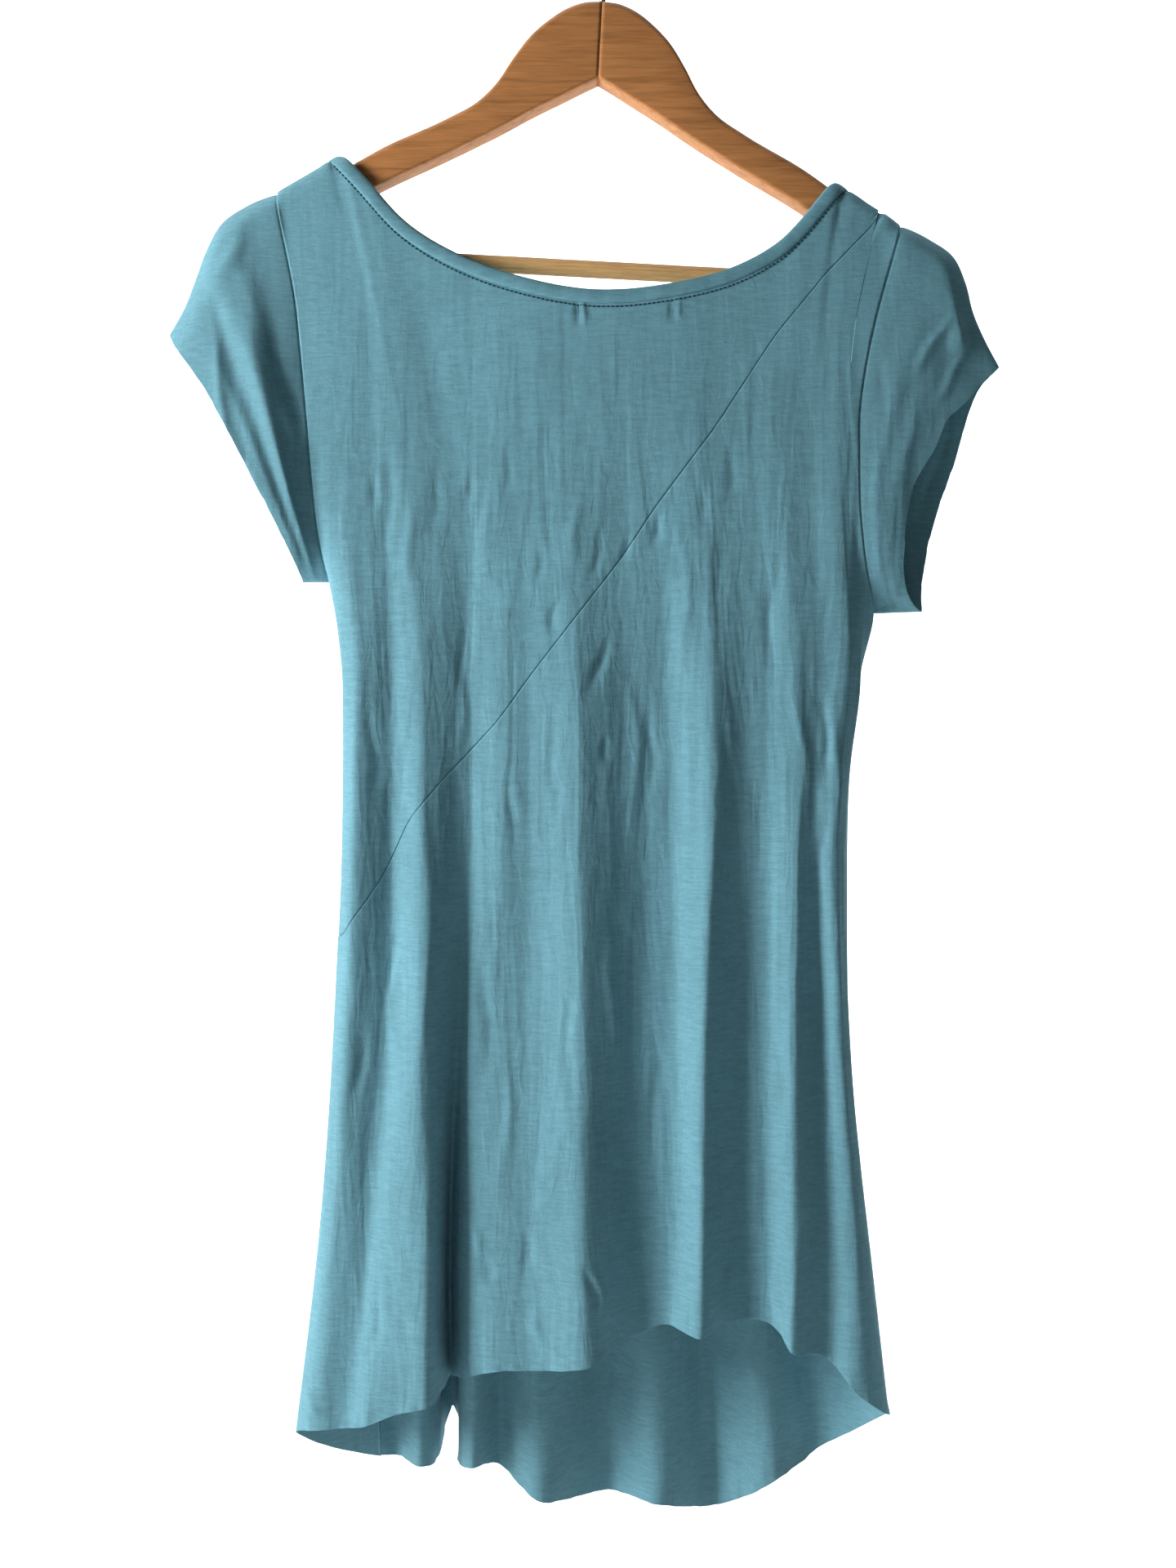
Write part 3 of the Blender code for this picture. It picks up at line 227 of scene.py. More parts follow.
# Fold lines of the front, left to right: x of the top end, share of the
# width at the chest, y at chest, waist, hip and low, then x, y and drop at
# the hem.
FRONT_FOLDS = [
    ("seam_dip", -178, 0.06, 14, 16, 26, 38, -128, 43, 923),
    ("lip_left", -160.9, 0.14, 12.5, 13, 16, 18, -111, 22, 921),
    ("wall_left", -145, 0.20, 14, 20, 30, 42, -101.6, 48, 924),
    ("deep_left", -138.5, 0.213, 14.7, 23, 36, 51, -100.6, 58, 909),
    ("deep", -134, 0.225, 15, 24, 38, 54, -96, 63, 901),
    ("deep_right", -129, 0.237, 14.7, 23, 36, 51, -91.2, 58, 909),
    ("wall_right", -122, 0.25, 14, 20, 30, 42, -90.2, 48, 928),
    ("lip_right", -108, 0.30, 12.5, 13, 16, 19, -80, 23, 922),
    ("left_dip", -88, 0.35, 14, 22, 32, 40, -66, 45, 929),
    ("left_rise", -60, 0.43, 12.5, 14, 18, 22, -41, 24, 943),
    ("centre_dip", -25, 0.52, 14.5, 24, 36, 46, -2, 51, 948),
    ("centre_rise", 12, 0.61, 13, 15, 20, 25, 30, 28, 946),
    ("right_dip", 50, 0.70, 14.5, 24, 36, 46, 62, 52, 959),
    ("right_rise", 86, 0.79, 13, 15, 20, 25, 97, 28, 934),
    ("right_bend", 120, 0.88, 14, 22, 32, 40, 127, 44, 920),
    ("right_fall", 137.3, 0.94, 13.5, 16, 22, 28, 147, 30, 903),
    ("right_turn", 156, 0.975, 12.8, 9, 11, 13, 157, 13, 888),
]

# Diagonal seam across the back, from the right shoulder down to the left
# side: x, drop
DIAGONAL = [
    (-157, 604), (-152, 603), (-137, 583), (-126, 565),
    (-115, 540), (-93, 513), (-62, 480), (-45, 456),
    (-23, 428), (7, 389), (27, 359), (60, 315),
    (93, 264), (106, 248), (124, 226), (150, 199),
    (157, 187.4),
]

# Sleeves. Each side has its armhole, its cuff on the near and far side, and
# the line over the shoulder from armhole to cuff. Rows are x, y, drop.
CUFF_LEFT = [
    (-176, 0, 401), (-178, -9, 393), (-193, -18, 361), (-211, -20, 325),
    (-233, -16, 287), (-248, -8, 267), (-253, 0, 259), (-243, 9, 271),
    (-234, 16, 287), (-218, 20, 317), (-199, 18, 354), (-181, 9, 390),
    (-176, 0, 401),
]
CUFF_RIGHT = [
    (180, 0, 418), (171.7, -6, 410.3), (167.9, -9, 397), (168.4, -10.5, 375.5),
    (173.5, -9.5, 347), (185.2, -8, 327), (196.6, -6.5, 305.5), (206, -5, 297),
    (214.7, -3, 286.3), (225, 0, 277), (217, 9, 286), (212, 16, 298),
    (207.5, 24, 320), (197, 27, 351), (191, 25, 370), (185.5, 18, 392),
    (181.5, 8, 410), (180, 0, 418),
]
TOP_LEFT = [
    (-191.5, 0, 177), (-202, 0, 181.5), (-214, 0, 187.5), (-225, 0, 197),
    (-232, 0, 211), (-239, 0, 230), (-246, 0, 247), (-253, 0, 259),
]
TOP_RIGHT = [
    (168.5, 0, 195), (177, 0, 199.5), (188, 0, 205.5), (198, 0, 213),
    (205, 0, 227), (209, 0, 243), (216, 0, 260), (225, 0, 277),
]
# Soft ridges of the sleeves: share from armhole to cuff at the top and at
# the underarm, how far they stand out, half width as a share
RIDGES_LEFT = [(0.42, 0.55, 3.5, 0.13), (0.80, 0.80, 2.5, 0.09)]
RIDGES_RIGHT = [(0.35, 0.40, 1.0, 0.14), (0.72, 0.75, 1.2, 0.11)]

# Section of the binding: share of the way from the panel's edge to the free
# edge, and height above the panel's face
BINDING_SECTION = [
    (-0.16, 0.1), (-0.10, 0.65), (0.02, 1), (0.22, 1.15), (0.5, 1.15), (0.78, 0.95), (0.93, 0.5),
    (1, -0.2), (0.99, -0.9), (0.9, -1.5), (0.7, -1.8), (0.35, -1.9), (0.02, -1.7), (-0.12, -1.2),
]
MITRE_GAP = 0.02             # half the space between the two arms
STITCH_PITCH = 2.6
STITCH_ROW = 4               # row of the panel's mesh that the stitches follow
STITCH_SIZE = (1.9, 0.50)    # length and half thickness of a stitch
STITCH_SIDES = 6
STITCH_LIFT = 0.3            # how far a stitch lies above the cloth, in half thicknesses
# A stitch from end to end: share of its length, share of its thickness
STITCH_SHAPE = [(0.0, 0.35), (0.25, 1.0), (0.75, 1.0), (1.0, 0.35)]
# Columns, rows and seed of the ragged hem for each panel
PANEL_MESH = {"back_upper": (190, 110, None), "back_lower": (250, 178, 11), "front": (230, 184, 12)}
SLEEVE_MESH = (210, 56)      # points round a sleeve, rows
JOIN_REACH = 4.0             # how far a sleeve's end is drawn to the armhole
CREASE_START = 3.0           # distance from the armhole at which creases begin
EDGE_SPARE = 2.0             # spare length at an underarm and at the shoulders
BINDING_MESH = 440           # points round the neck
BINDING_SWELL = 0.12         # share by which the binding's height varies
BINDING_SEED = 5
CURL_SEED = 3
CURL_REACH = 5.0             # how far up from the hem the curl reaches
SOFT_FROM = 610.0            # drops between which the folds grow rounder
SOFT_FULL = 760.0
SOFT_PASSES = 14
NOTCH_AT = -92.0             # middle of the deep notch, which stays sharp
NOTCH_WIDE = 14.0
HEM_WAVER = 0.3              # how far the raw edges stray from an even line
HEM_CURL = 0.5               # how far they curl
WAVES = (61.0, 37.0, 23.0, 13.0, 7.0)   # lengths of the waves along a raw edge

# Soft creases: name, x and drop of both ends, how far the line bows, half
# width, height (troughs below 0)
BACK_CREASES = [
    ("label_left", -17.5, 239, -17.5, 260, 0.3, 1.3, -2),
    ("label_left_lip", -15.4, 239, -15.4, 260, 0.3, 1.5, 1.5),
    ("label_right", 35.5, 240.5, 37.5, 256, -0.8, 1.3, -1.9),
    ("label_right_lip", 37.6, 240.5, 39.6, 256, -0.8, 1.5, 1.4),
    ("chest_a", -132, 338, -135, 366, 0.6, 2.4, -0.9),
    ("chest_b", -122, 324, -126, 400, -1.5, 3, -1.1),
    ("chest_c", -111, 352, -116, 415, 1, 3.2, 1),
    ("chest_d", -96, 330, -101, 380, 0.8, 2.6, -0.8),
    ("chest_e", -77, 338, -81, 364, -0.7, 2, -1),
    ("chest_f", -70, 345, -74, 410, 1.4, 3, 0.8),
    ("chest_g", -56, 318, -60, 360, 1, 2.2, -0.7),
    ("chest_h", -39.5, 378, -39.5, 407, 0.8, 2, -1.2),
    ("chest_i", -28, 409, -31, 436, -2.2, 1.8, -1.3),
    ("chest_j", -2.5, 364, -11, 405, 1, 2.2, -1),
    ("chest_k", 12, 370, 6.5, 396, 0.5, 1.8, -0.9),
    ("chest_l", -16, 350, -22, 400, -1, 2.8, 0.8),
    ("pucker_a", 29, 360, 24.5, 385, 0.8, 2.2, -1.4),
    ("pucker_b", 40.5, 361, 43.5, 470, 1.2, 3.4, 1),
    ("pucker_c", 52, 345, 55, 380, 0.8, 2.2, -1),
    ("pucker_d", 71, 318, 69, 362, -0.8, 2.6, -0.8),
    ("mid_a", 1.5, 430, -11, 470, -1, 2.6, -1.3),
    ("mid_b", -2.5, 487, -3.5, 507, 0.3, 1.6, -1.1),
    ("mid_c", 23, 470, 24.5, 527, 0.7, 2.2, -1),
    ("mid_d", 14, 450, 17, 560, -1.2, 3.6, 1),
    ("mid_e", -34, 470, -30, 545, 1.2, 2.8, -0.9),
    ("mid_f", -56, 500, -53, 570, -1, 3, -1),
    ("mid_g", -88, 440, -84, 520, 1.5, 3.2, 1.1),
    ("mid_h", -113, 470, -116, 560, -1.4, 3.4, -1),
    ("mid_i", -136, 455, -133, 540, 1, 2.8, -0.9),
    ("mid_j", 64, 470, 67, 590, 1.5, 3.4, -1),
    ("mid_k", 95, 380, 92, 470, -1.2, 3, -0.9),
    ("mid_l", 104, 430, 109, 560, 1.6, 3.4, 1),
    ("side_groove", 120.5, 464, 123, 527, 0.8, 2.4, -1.8),
    ("side_run", 123, 520, 118, 610, -1, 2.8, -1.2),
    ("side_lip", 126.5, 455, 128, 560, 0.8, 2.6, 1),
    ("low_a", -140, 640, -146, 720, 1.2, 3, -1),
    ("low_b", -119, 600, -121, 690, -1.6, 3.2, 1.1),
    ("low_c", -70, 600, -72, 700, 1.4, 3.4, -1),
    ("low_d", -56, 660, -58, 770, -1.6, 3.6, 1.1),
    ("low_e", -24, 610, -22, 720, 1.2, 3.2, -0.9),
    ("low_f", 4, 590, 1, 700, -1.5, 3.6, 1),
    ("low_g", 26, 640, 24, 740, 1.3, 3.2, -1),
    ("low_h", 68, 620, 67, 730, -1.3, 3.2, 1),
    ("low_i", 96, 640, 95, 720, 1, 2.8, -0.9),
    ("low_j", 113, 700, 116, 790, -1.2, 3.2, 1),
    ("crumple_a", -79, 762, -70, 790, 1.6, 2.6, 1.4),
    ("crumple_b", -70, 772, -66, 800, -1.4, 2.4, -1.4),
    ("crumple_c", -48, 764, -46, 795, 1.8, 2.4, -1.5),
    ("crumple_d", -41, 806, -38, 832, -1.2, 2.2, 1.4),
    ("crumple_e", -15, 780, -7, 818, 2.2, 2.4, -1.6),
    ("crumple_f", -9, 786, -2, 822, 2, 2.6, 1.4),
    ("crumple_g", -170, 856, -163, 872, -1.2, 2.2, 1.2),
    ("crumple_h", -128, 790, -135, 842, 1.4, 2.6, -1.3),
    ("crumple_i", 62, 780, 66, 812, 1.2, 2.2, -1.1),
    ("crumple_j", 92, 790, 98, 822, -1.2, 2.4, 1),
]
# The front shows the same kinds of crease, at places of its own
FRONT_CREASES = [
    ("chest_a", -118, 330, -123, 395, 1.4, 3, -1.1),
    ("chest_b", -104, 350, -99, 420, -1.2, 3.2, 1),
    ("chest_c", -84, 342, -88, 372, 0.8, 2.2, -1),
    ("chest_d", -66, 355, -62, 440, 1.6, 3.2, 0.9),
    ("chest_e", -41, 372, -44, 404, -0.8, 2, -1.1),
    ("chest_f", -22, 366, -16, 430, 1.8, 2.6, -1),
    ("chest_g", 5, 350, 2, 388, 0.6, 2, -0.9),
    ("chest_h", 24, 360, 28, 450, -1.4, 3.4, 1),
    ("chest_i", 49, 340, 46, 384, 0.8, 2.2, -1.1),
    ("chest_j", 74, 352, 79, 430, 1.2, 3, 0.9),
    ("chest_k", 98, 345, 95, 410, -1, 2.6, -0.9),
    ("mid_a", -126, 470, -122, 560, 1.5, 3.2, -1),
    ("mid_b", -92, 460, -95, 545, -1.3, 3.2, 1),
    ("mid_c", -58, 500, -54, 590, 1.2, 3, -0.9),
    ("mid_d", -18, 480, -22, 570, -1.5, 3.4, 1),
    ("mid_e", 14, 510, 17, 600, 1, 2.8, -1),
    ("mid_f", 52, 480, 48, 590, 1.6, 3.4, 0.9),
    ("mid_g", 84, 460, 88, 560, -1.2, 3, -1),
    ("mid_h", 118, 480, 114, 600, 1.4, 3, 1),
    ("low_a", -118, 640, -124, 740, 1.6, 3.4, 1.1),
    ("low_b", -74, 660, -70, 770, -1.4, 3.2, -1.1),
    ("low_c", -32, 640, -36, 740, 1.2, 3.2, 1),
    ("low_d", 8, 680, 12, 790, -1.8, 3.6, -1.1),
    ("low_e", 44, 650, 40, 760, 1.4, 3.4, 1),
    ("low_f", 82, 690, 86, 790, -1.2, 3, -1),
    ("low_g", 116, 640, 121, 760, 1.4, 3.2, 1),
    ("crumple_a", 66, 826, 78, 880, 2.4, 3, 1.5),
    ("crumple_b", 78, 838, 90, 886, 2, 2.6, -1.4),
    ("crumple_c", -58, 850, -50, 900, 1.8, 2.8, 1.3),
    ("crumple_d", 8, 860, 2, 915, -1.6, 3, -1.3),
]
# Creases of the sleeves, on the side towards the viewer and the side away
LEFT_NEAR = [
    ("soft_ridge", -217, 212, -172, 354, 2, 7, 1.8),
    ("armhole_dip", -193, 245, -171, 352, 1.5, 5, -1),
    ("outer_dip", -223, 226, -197, 352, -3.5, 4.5, -0.8),
    ("thin_ridge", -230, 238, -190, 376, -4.5, 3, 1.1),
    ("cuff_dip", -207, 326, -188, 392, -1, 3, -1.3),
    ("top_fold", -205, 190, -232, 246, 3, 5, 1.4),
]
LEFT_FAR = [
    ("soft_ridge", -214, 214, -174, 350, -2, 6.5, 3.2),
    ("armhole_dip", -190, 250, -172, 345, -1, 4.5, -2.4),
    ("thin_ridge", -228, 246, -192, 366, 3.5, 3, 1.6),
    ("outer_dip", -219, 236, -196, 340, 2.5, 4.5, -1.8),
]
RIGHT_NEAR = [
    ("streak_a", 197, 245, 168, 290, 1, 3, 1.3),
    ("streak_b", 207, 266, 184, 306, -1, 2.6, 1),
    ("armhole_dip", 153, 262, 153, 360, 1.5, 4, -0.5),
    ("hang_fold", 172, 292, 161, 385, 2, 4.5, 0.8),
    ("underarm_seam", 148, 422, 171, 412.5, 1.5, 1.8, -1.5),
]
RIGHT_FAR = [
    ("soft_ridge", 190, 232, 165, 372, 3, 6, 2.4),
    ("armhole_dip", 158, 260, 158, 365, -1.5, 4.5, -2),
    ("thin_ridge", 205, 262, 182, 380, 2.5, 3, 1.3),
]

# Colours
TEAL = (0.147, 0.341, 0.424)
TEAL_BINDING = (0.137, 0.320, 0.398)
THREAD = (0.018, 0.070, 0.098)
WOOD = (0.492, 0.216, 0.077)
BAR_WOOD = (0.710, 0.430, 0.185)
STEEL = (0.56, 0.57, 0.58)

# Heights in metres between which crumples fade, and their share at each
SMOOTH_ZONE = (-0.24, -0.40, 0.30, 0.80)

# Stage
FLOOR = -1.08
CAMERA = (-0.012, -0.800, -0.517)
LENS = 31.91
FLOOR_NEAR = -2.5      # where the floor starts, where it bends up, and how wide it is
FLOOR_FAR = 0.9
FLOOR_BEND = 0.8
FLOOR_TOP = 2.2
FLOOR_HALF = 4.0
FLOOR_TONE = (0.86, 0.86, 0.85, 1.0)
SKY = 0.03
SKY_TONE = (0.95, 0.97, 1.0, 1.0)
# Lights: name, place, point they look at, size, power, colour, spread in degrees
LIGHTS = [
    ("key", (-1.35, -0.60, -0.28), (0.0, 0.0, -0.5), (0.36, 0.80), 30.5, (1.0, 0.985, 0.96), 180.0),
    ("fill", (0.7, -1.6, 0.2), (0.0, 0.0, -0.45), (1.6, 1.6), 0.7, (0.93, 0.97, 1.0), 180.0),
    ("backdrop_light", (0.0, 0.35, 1.5), (0.0, 1.6, -0.6), (3.4, 0.6), 80.0, (1.0, 1.0, 1.0), 100.0),
]


def smooth_curve(points, where):
    """Point of a smooth curve that passes through all the given points."""
    pts = np.asarray(points, float)
    where = min(max(where, 0.0), len(pts) - 1.0)
    i = min(int(where), len(pts) - 2)
    t = where - i
    p1 = pts[i]
    p2 = pts[i + 1]
    p0 = pts[i - 1] if i > 0 else 2 * p1 - p2
    p3 = pts[i + 2] if i + 2 < len(pts) else 2 * p2 - p1
    step = [max(np.linalg.norm(b - a), 1e-6) for a, b in ((p0, p1), (p1, p2), (p2, p3))]
    m1 = step[1] * ((p1 - p0) / step[0] - (p2 - p0) / (step[0] + step[1]) + (p2 - p1) / step[1])
    m2 = step[1] * ((p2 - p1) / step[1] - (p3 - p1) / (step[1] + step[2]) + (p3 - p2) / step[2])
    a = t * t * t
    b = t * t
    return (2 * a - 3 * b + 1) * p1 + (a - 2 * b + t) * m1 + (3 * b - 2 * a) * p2 + (a - b) * m2


def by_drop(table, drop):
    """Values of a table whose first column is the drop, at one drop.

    A seam's table has its corner at the underarm, where y is 0.
    """
    corner = [j for j in range(1, len(table) - 1) if table[j][2] == 0.0]
    if corner:
        table = table[:corner[0] + 1] if drop <= table[corner[0]][0] else table[corner[0]:]
    drops = [row[0] for row in table]
    drop = min(max(drop, drops[0]), drops[-1])
    i = max(j for j in range(len(drops)) if drops[j] <= drop)
    i = min(i, len(drops) - 2)
    t = (drop - drops[i]) / (drops[i + 1] - drops[i])
    return smooth_curve(table, i + t)[1:]


def even_points(points, count):
    """Points at even distances along a smooth curve through the given ones."""
    fine = np.array([smooth_curve(points, k / 12.0) for k in range(12 * (len(points) - 1) + 1)])
    length = lengths(fine)
    at = np.linspace(0.0, length[-1], count)
    return np.array([[np.interp(s, length, fine[:, k]) for k in range(3)] for s in at])


def neck_path(rows):
    """Inner edge of the binding and the direction from it into the panel."""
    inner = even_points([row[1:] for row in rows], 49)
    tangent = np.gradient(inner, axis=0)
    side = []
    for k, t in enumerate(tangent):
        out = np.cross(t, (0.0, 1.0, 0.0))
        out = out / max(np.linalg.norm(out), 1e-6)
        if out[2] < 0:
            out = -out
        along = SHOULDER_LEFT if k < 24 else SHOULDER_RIGHT
        mix = min(1.0, min(k, 48 - k) / 4.0)
        out = np.array(along) * (1.0 - mix) + out * mix
        side.append(out / np.linalg.norm(out))
    return inner, np.array(side)


def panel_top(rows):
    """Top edge of a panel: shoulder, under the binding, shoulder."""
    inner, side = neck_path(rows)
    under = inner + side * (BINDING_WIDE + SEAM_GAP)
    keep = [under[0]]
    for p in under[1:-1]:
        if keep[-1][0] + 0.3 < p[0] < under[-1][0] - 0.3:
            keep.append(p)
    keep.append(under[-1])
    return np.array([(TIP_LEFT[0], 0.0, TIP_LEFT[1])] + keep + [(TIP_RIGHT[0], 0.0, TIP_RIGHT[1])])


def at_x(edge, x):
    """y and drop of a panel's top edge at one x."""
    return tuple(float(np.interp(x, edge[:, 0], edge[:, k])) for k in (1, 2))


def arm_top(x):
    """Drop of the top of the hanger's arm under a point of the cloth."""
    side = 1.0 if x > MITRE_X else -1.0
    rows = [hanger_point(side * row[1], 0.0, row[2]) for row in ARM_ROWS]
    xs = [side * p[0] for p in rows]
    return float(np.interp(side * x, xs, [p[2] for p in rows]))


def clear_arm(p, sign, radius=ARM_WRAP):
    """Move a point of the cloth's outer face out to its place round the arm."""
    x, y, drop = p
    reach = hanger_point(math.copysign(ARM_REACH, x), 0.0, ARM_ROWS[-1][2])
    if abs(x) > abs(reach[0]) + 1.0:
        return np.array(p)
    centre = arm_top(x) + ARM_THICK / 2
    if drop > centre + WRAP_DEPTH:
        return np.array(p)
    if drop >= centre:
        return np.array((x, sign * max(abs(y), radius), drop))
    away = math.hypot(y, drop - centre)
    if away >= radius:
        return np.array(p)
    scale = radius / max(away, 1e-6)
    return np.array((x, y * scale, centre + (drop - centre) * scale))


class Panel:
    """One side of the body: lines that run down it, from left to right."""

    def __init__(self, side, step):
        back = side == "back"
        self.sign = -1.0 if back else 1.0
        self.edge = panel_top(NECK_BACK if back else NECK_FRONT)
        self.left = self.seam(LEFT_SEAM, LEFT_UNDERARM, back)
        self.right = self.seam(RIGHT_SEAM, RIGHT_UNDERARM, back)
        main = self.back_levels() if back else self.front_levels()
        ends = [self.edge_levels(self.left, TIP_LEFT[0]), self.edge_levels(self.right, TIP_RIGHT[0])]
        main = [ends[0]] + main + [ends[1]]
        tops = [row[0] for row in main]
        levels = [[row[1][k] for row in main] for k in range(5)]
        self.lines = []
        self.at = []
        last = len(main) - 1
        at = {k / step for k in range(last * step + 1)}
        corners = [(NECK_LEFT, 1), (NECK_RIGHT, -1)] + ([(DIAGONAL[-1][0], -1)] if back else [])
        for k in range(1, last):
            for x, way in corners:
                if abs(tops[k] - x) < 0.2:
                    at |= {k + 0.25 * way, k + 0.12 * way}
        for u in sorted(at):
            self.at.append(u)
            if u == 0:
                self.lines.append(self.left)
            elif u == last:
                self.lines.append(self.right)
            else:
                top_x = float(np.interp(u, range(len(tops)), tops))
                rows = [tuple(smooth_curve(level, u)) for level in levels]
                self.lines.append(self.line(top_x, [(r[2], r[0], r[1]) for r in rows]))

    @staticmethod
    def seam(table, underarm, back):
        """One side of the panel; below the underarm both panels share it."""
        return [(drop, x, y_back if back or drop > underarm else y_front)
                for _name, drop, x, y_back, y_front in table]

    def edge_levels(self, seam, top_x):
        """A side of the panel at the levels that the fold lines use."""
        levels = (UNDER_CHEST, WAIST, HIP, LOW, seam[-1][0])
        return top_x, [(*by_drop(seam, level), level) for level in levels]

    def back_levels(self):
        """Fold lines of the back at their levels: x, y, drop."""
        out = []
        for _name, top_x, *at, drop in BACK_FOLDS:
            out.append((top_x, list(zip(at[::2], at[1::2], (UNDER_CHEST, WAIST, HIP, LOW, drop)))))
        return out

    def front_levels(self):
        """Fold lines of the front, placed by their share of the width."""
        out = []
        left = self.left[-1][1]
        right = self.right[-1][1]
        for _name, top_x, share, cy, wy, hy, ly, ex, ey, drop in FRONT_FOLDS:
            share_end = (ex - left) / (right - left)
            rows = []
            for level, y in ((UNDER_CHEST, cy), (WAIST, wy), (HIP, hy), (LOW, ly)):
                t = (level - UNDER_CHEST) / (drop - UNDER_CHEST)
                part = share + (share_end - share) * t
                x_left = self.left_x(level)
                rows.append((x_left + part * (self.right_x(level) - x_left), y, level))
            rows.append((ex, ey, drop))
            out.append((top_x, rows))
        return out

    def line(self, top_x, rows):
        """One line: top edge, over the hanger's arm, then through its levels."""
        y_top, drop_top = at_x(self.edge, top_x)
        chest = rows[0]
        across = (chest[1] - self.left_x(chest[0])) / (self.right_x(chest[0]) - self.left_x(chest[0]))
        first = [(drop_top, top_x, y_top)]
        wrapped = abs(y_top) < ARM_WRAP - 0.6
        steps = [(s, True) for s in OVER_STEPS] if wrapped else []
        steps += [(s, wrapped and s == DOWN_STEPS[0]) for s in DOWN_STEPS]
        for s, over in steps:
            drop = drop_top + s
            if drop > chest[0] - 14.0:
                break
            t = s / (chest[0] - drop_top)
            x = top_x + (chest[1] - top_x) * t + self.bulge(drop, drop_top, across)
            if over:
                deep = min(s + ARM_WRAP - math.sqrt(ARM_WRAP ** 2 - y_top ** 2), ARM_WRAP)
                y = self.sign * math.sqrt(ARM_WRAP ** 2 - (ARM_WRAP - deep) ** 2)
            else:
                start = self.sign * ARM_WRAP if wrapped else y_top
                y = start + (chest[2] - start) * t
            first.append((drop, x, y))
        rib = self.rib_row(across, rows)
        return first + [rows[0], rib] + list(rows[1:])

    def rib_row(self, across, rows):
        """The row under the arms, where the side seams bend the lines beside them."""
        t = (RIBS - rows[0][0]) / (rows[1][0] - rows[0][0])
        x = rows[0][1] + (rows[1][1] - rows[0][1]) * t
        y = rows[0][2] + (rows[1][2] - rows[0][2]) * t
        for edge, weight in ((self.left_x, 1 - across), (self.right_x, across)):
            chord = edge(rows[0][0]) + (edge(rows[1][0]) - edge(rows[0][0])) * t
            x += (edge(RIBS) - chord) * max(weight, 0.0) ** 3
        return RIBS, x, y

    def left_x(self, drop):
        return by_drop(self.left, drop)[0]

    def right_x(self, drop):
        return by_drop(self.right, drop)[0]

    def bulge(self, drop, drop_top, across):
        """How far the armholes bend the lines that run beside them."""
        t = (drop - drop_top) / (UNDER_CHEST - drop_top)
        out = 0.0
        for seam, tip, weight in ((self.left_x, TIP_LEFT, 1 - across), (self.right_x, TIP_RIGHT, across)):
            at = tip[1] + (UNDER_CHEST - tip[1]) * t
            chord = tip[0] + (seam(UNDER_CHEST) - tip[0]) * t
            out += (seam(at) - chord) * max(weight, 0.0) ** 2
        return out

    def point(self, j, share):
        """Point of line j: share 0..1 top to chest, then 1 more to each level."""
        rows = self.lines[j]
        marks = [rows[0][0], UNDER_CHEST, WAIST, HIP, LOW, rows[-1][0]]
        k = min(int(share), 4)
        drop = marks[k] + (share - k) * (marks[k + 1] - marks[k])
        x, y = by_drop(rows, drop)
        p = np.array((x, y, drop))
        return clear_arm(p, self.sign) if share < 1.0 else p


def row_shares():
    """Rows of a panel, with one at each underarm."""
    left = 1.0 + (LEFT_UNDERARM - UNDER_CHEST) / (WAIST - UNDER_CHEST)
    right = 1.0 + (RIGHT_UNDERARM - UNDER_CHEST) / (WAIST - UNDER_CHEST)
    return list(TOP_STEPS) + [1.0, 1.15, left - 0.055, left, right - 0.055, right] + list(LOWER_STEPS)


class Sheet:
    """A grid of points on the outer face of a cloth piece, and its normals."""

    def __init__(self, name, grid, closed, outside):
        self.name = name
        self.grid = np.array(grid, float)
        self.closed = closed
        self.normal = grid_normals(self.grid, closed)
        if outside(self.grid, self.normal) < 0:
            self.normal = -self.normal
        self.final = self.normal.copy()

    def edges(self):
        """Cells along each edge of the grid."""
        rows, cols = self.grid.shape[:2]
        out = [[(i, j) for j in range(cols)] for i in (0, rows - 1)]
        if not self.closed:
            out += [[(i, j) for i in range(rows)] for j in (0, cols - 1)]
        return out


def segments(sheet):
    """Edges of a sheet as segments: both ends and both normals."""
    runs = [run + run[:1] if sheet.closed else run for run in sheet.edges()]
    pairs = [pair for run in runs for pair in zip(run[:-1], run[1:])]
    first = tuple(np.array([pair[0] for pair in pairs]).T)
    second = tuple(np.array([pair[1] for pair in pairs]).T)
    return sheet.grid[first], sheet.grid[second], sheet.normal[first], sheet.normal[second]


def join_normals(sheets, reach):
    """Give the two sides of every seam one direction for their thickness.

    Along the diagonal seam it is the first sheet's, because the upper back
    ends there in a narrow tip.
    """
    borders = [segments(sheet) for sheet in sheets]
    for n, sheet in enumerate(sheets):
        for cell in {cell for run in sheet.edges() for cell in run}:
            here = sheet.grid[cell]
            total = sheet.normal[cell].copy()
            for m, (start, end, n_start, n_end) in enumerate(borders):
                if m == n or (n, m) == (0, 1):
                    continue
                weight = LEADING if (n, m) == (1, 0) else 1.0
                best, t, near = nearest(here, start, end - start)
                if np.linalg.norm(near - here) < reach:
                    total += weight * (n_start[best] * (1 - t) + n_end[best] * t)
            sheet.final[cell] = total / max(np.linalg.norm(total), 1e-6)


def nearest(point, start, run):
    """Nearest of many segments to a point: its number, share along it and place."""
    t = ((point - start) * run).sum(axis=1) / np.maximum((run * run).sum(axis=1), 1e-9)
    t = np.clip(t, 0.0, 1.0)
    near = start + run * t[:, None]
    best = int(np.linalg.norm(near - point, axis=1).argmin())
    return best, t[best], near[best]


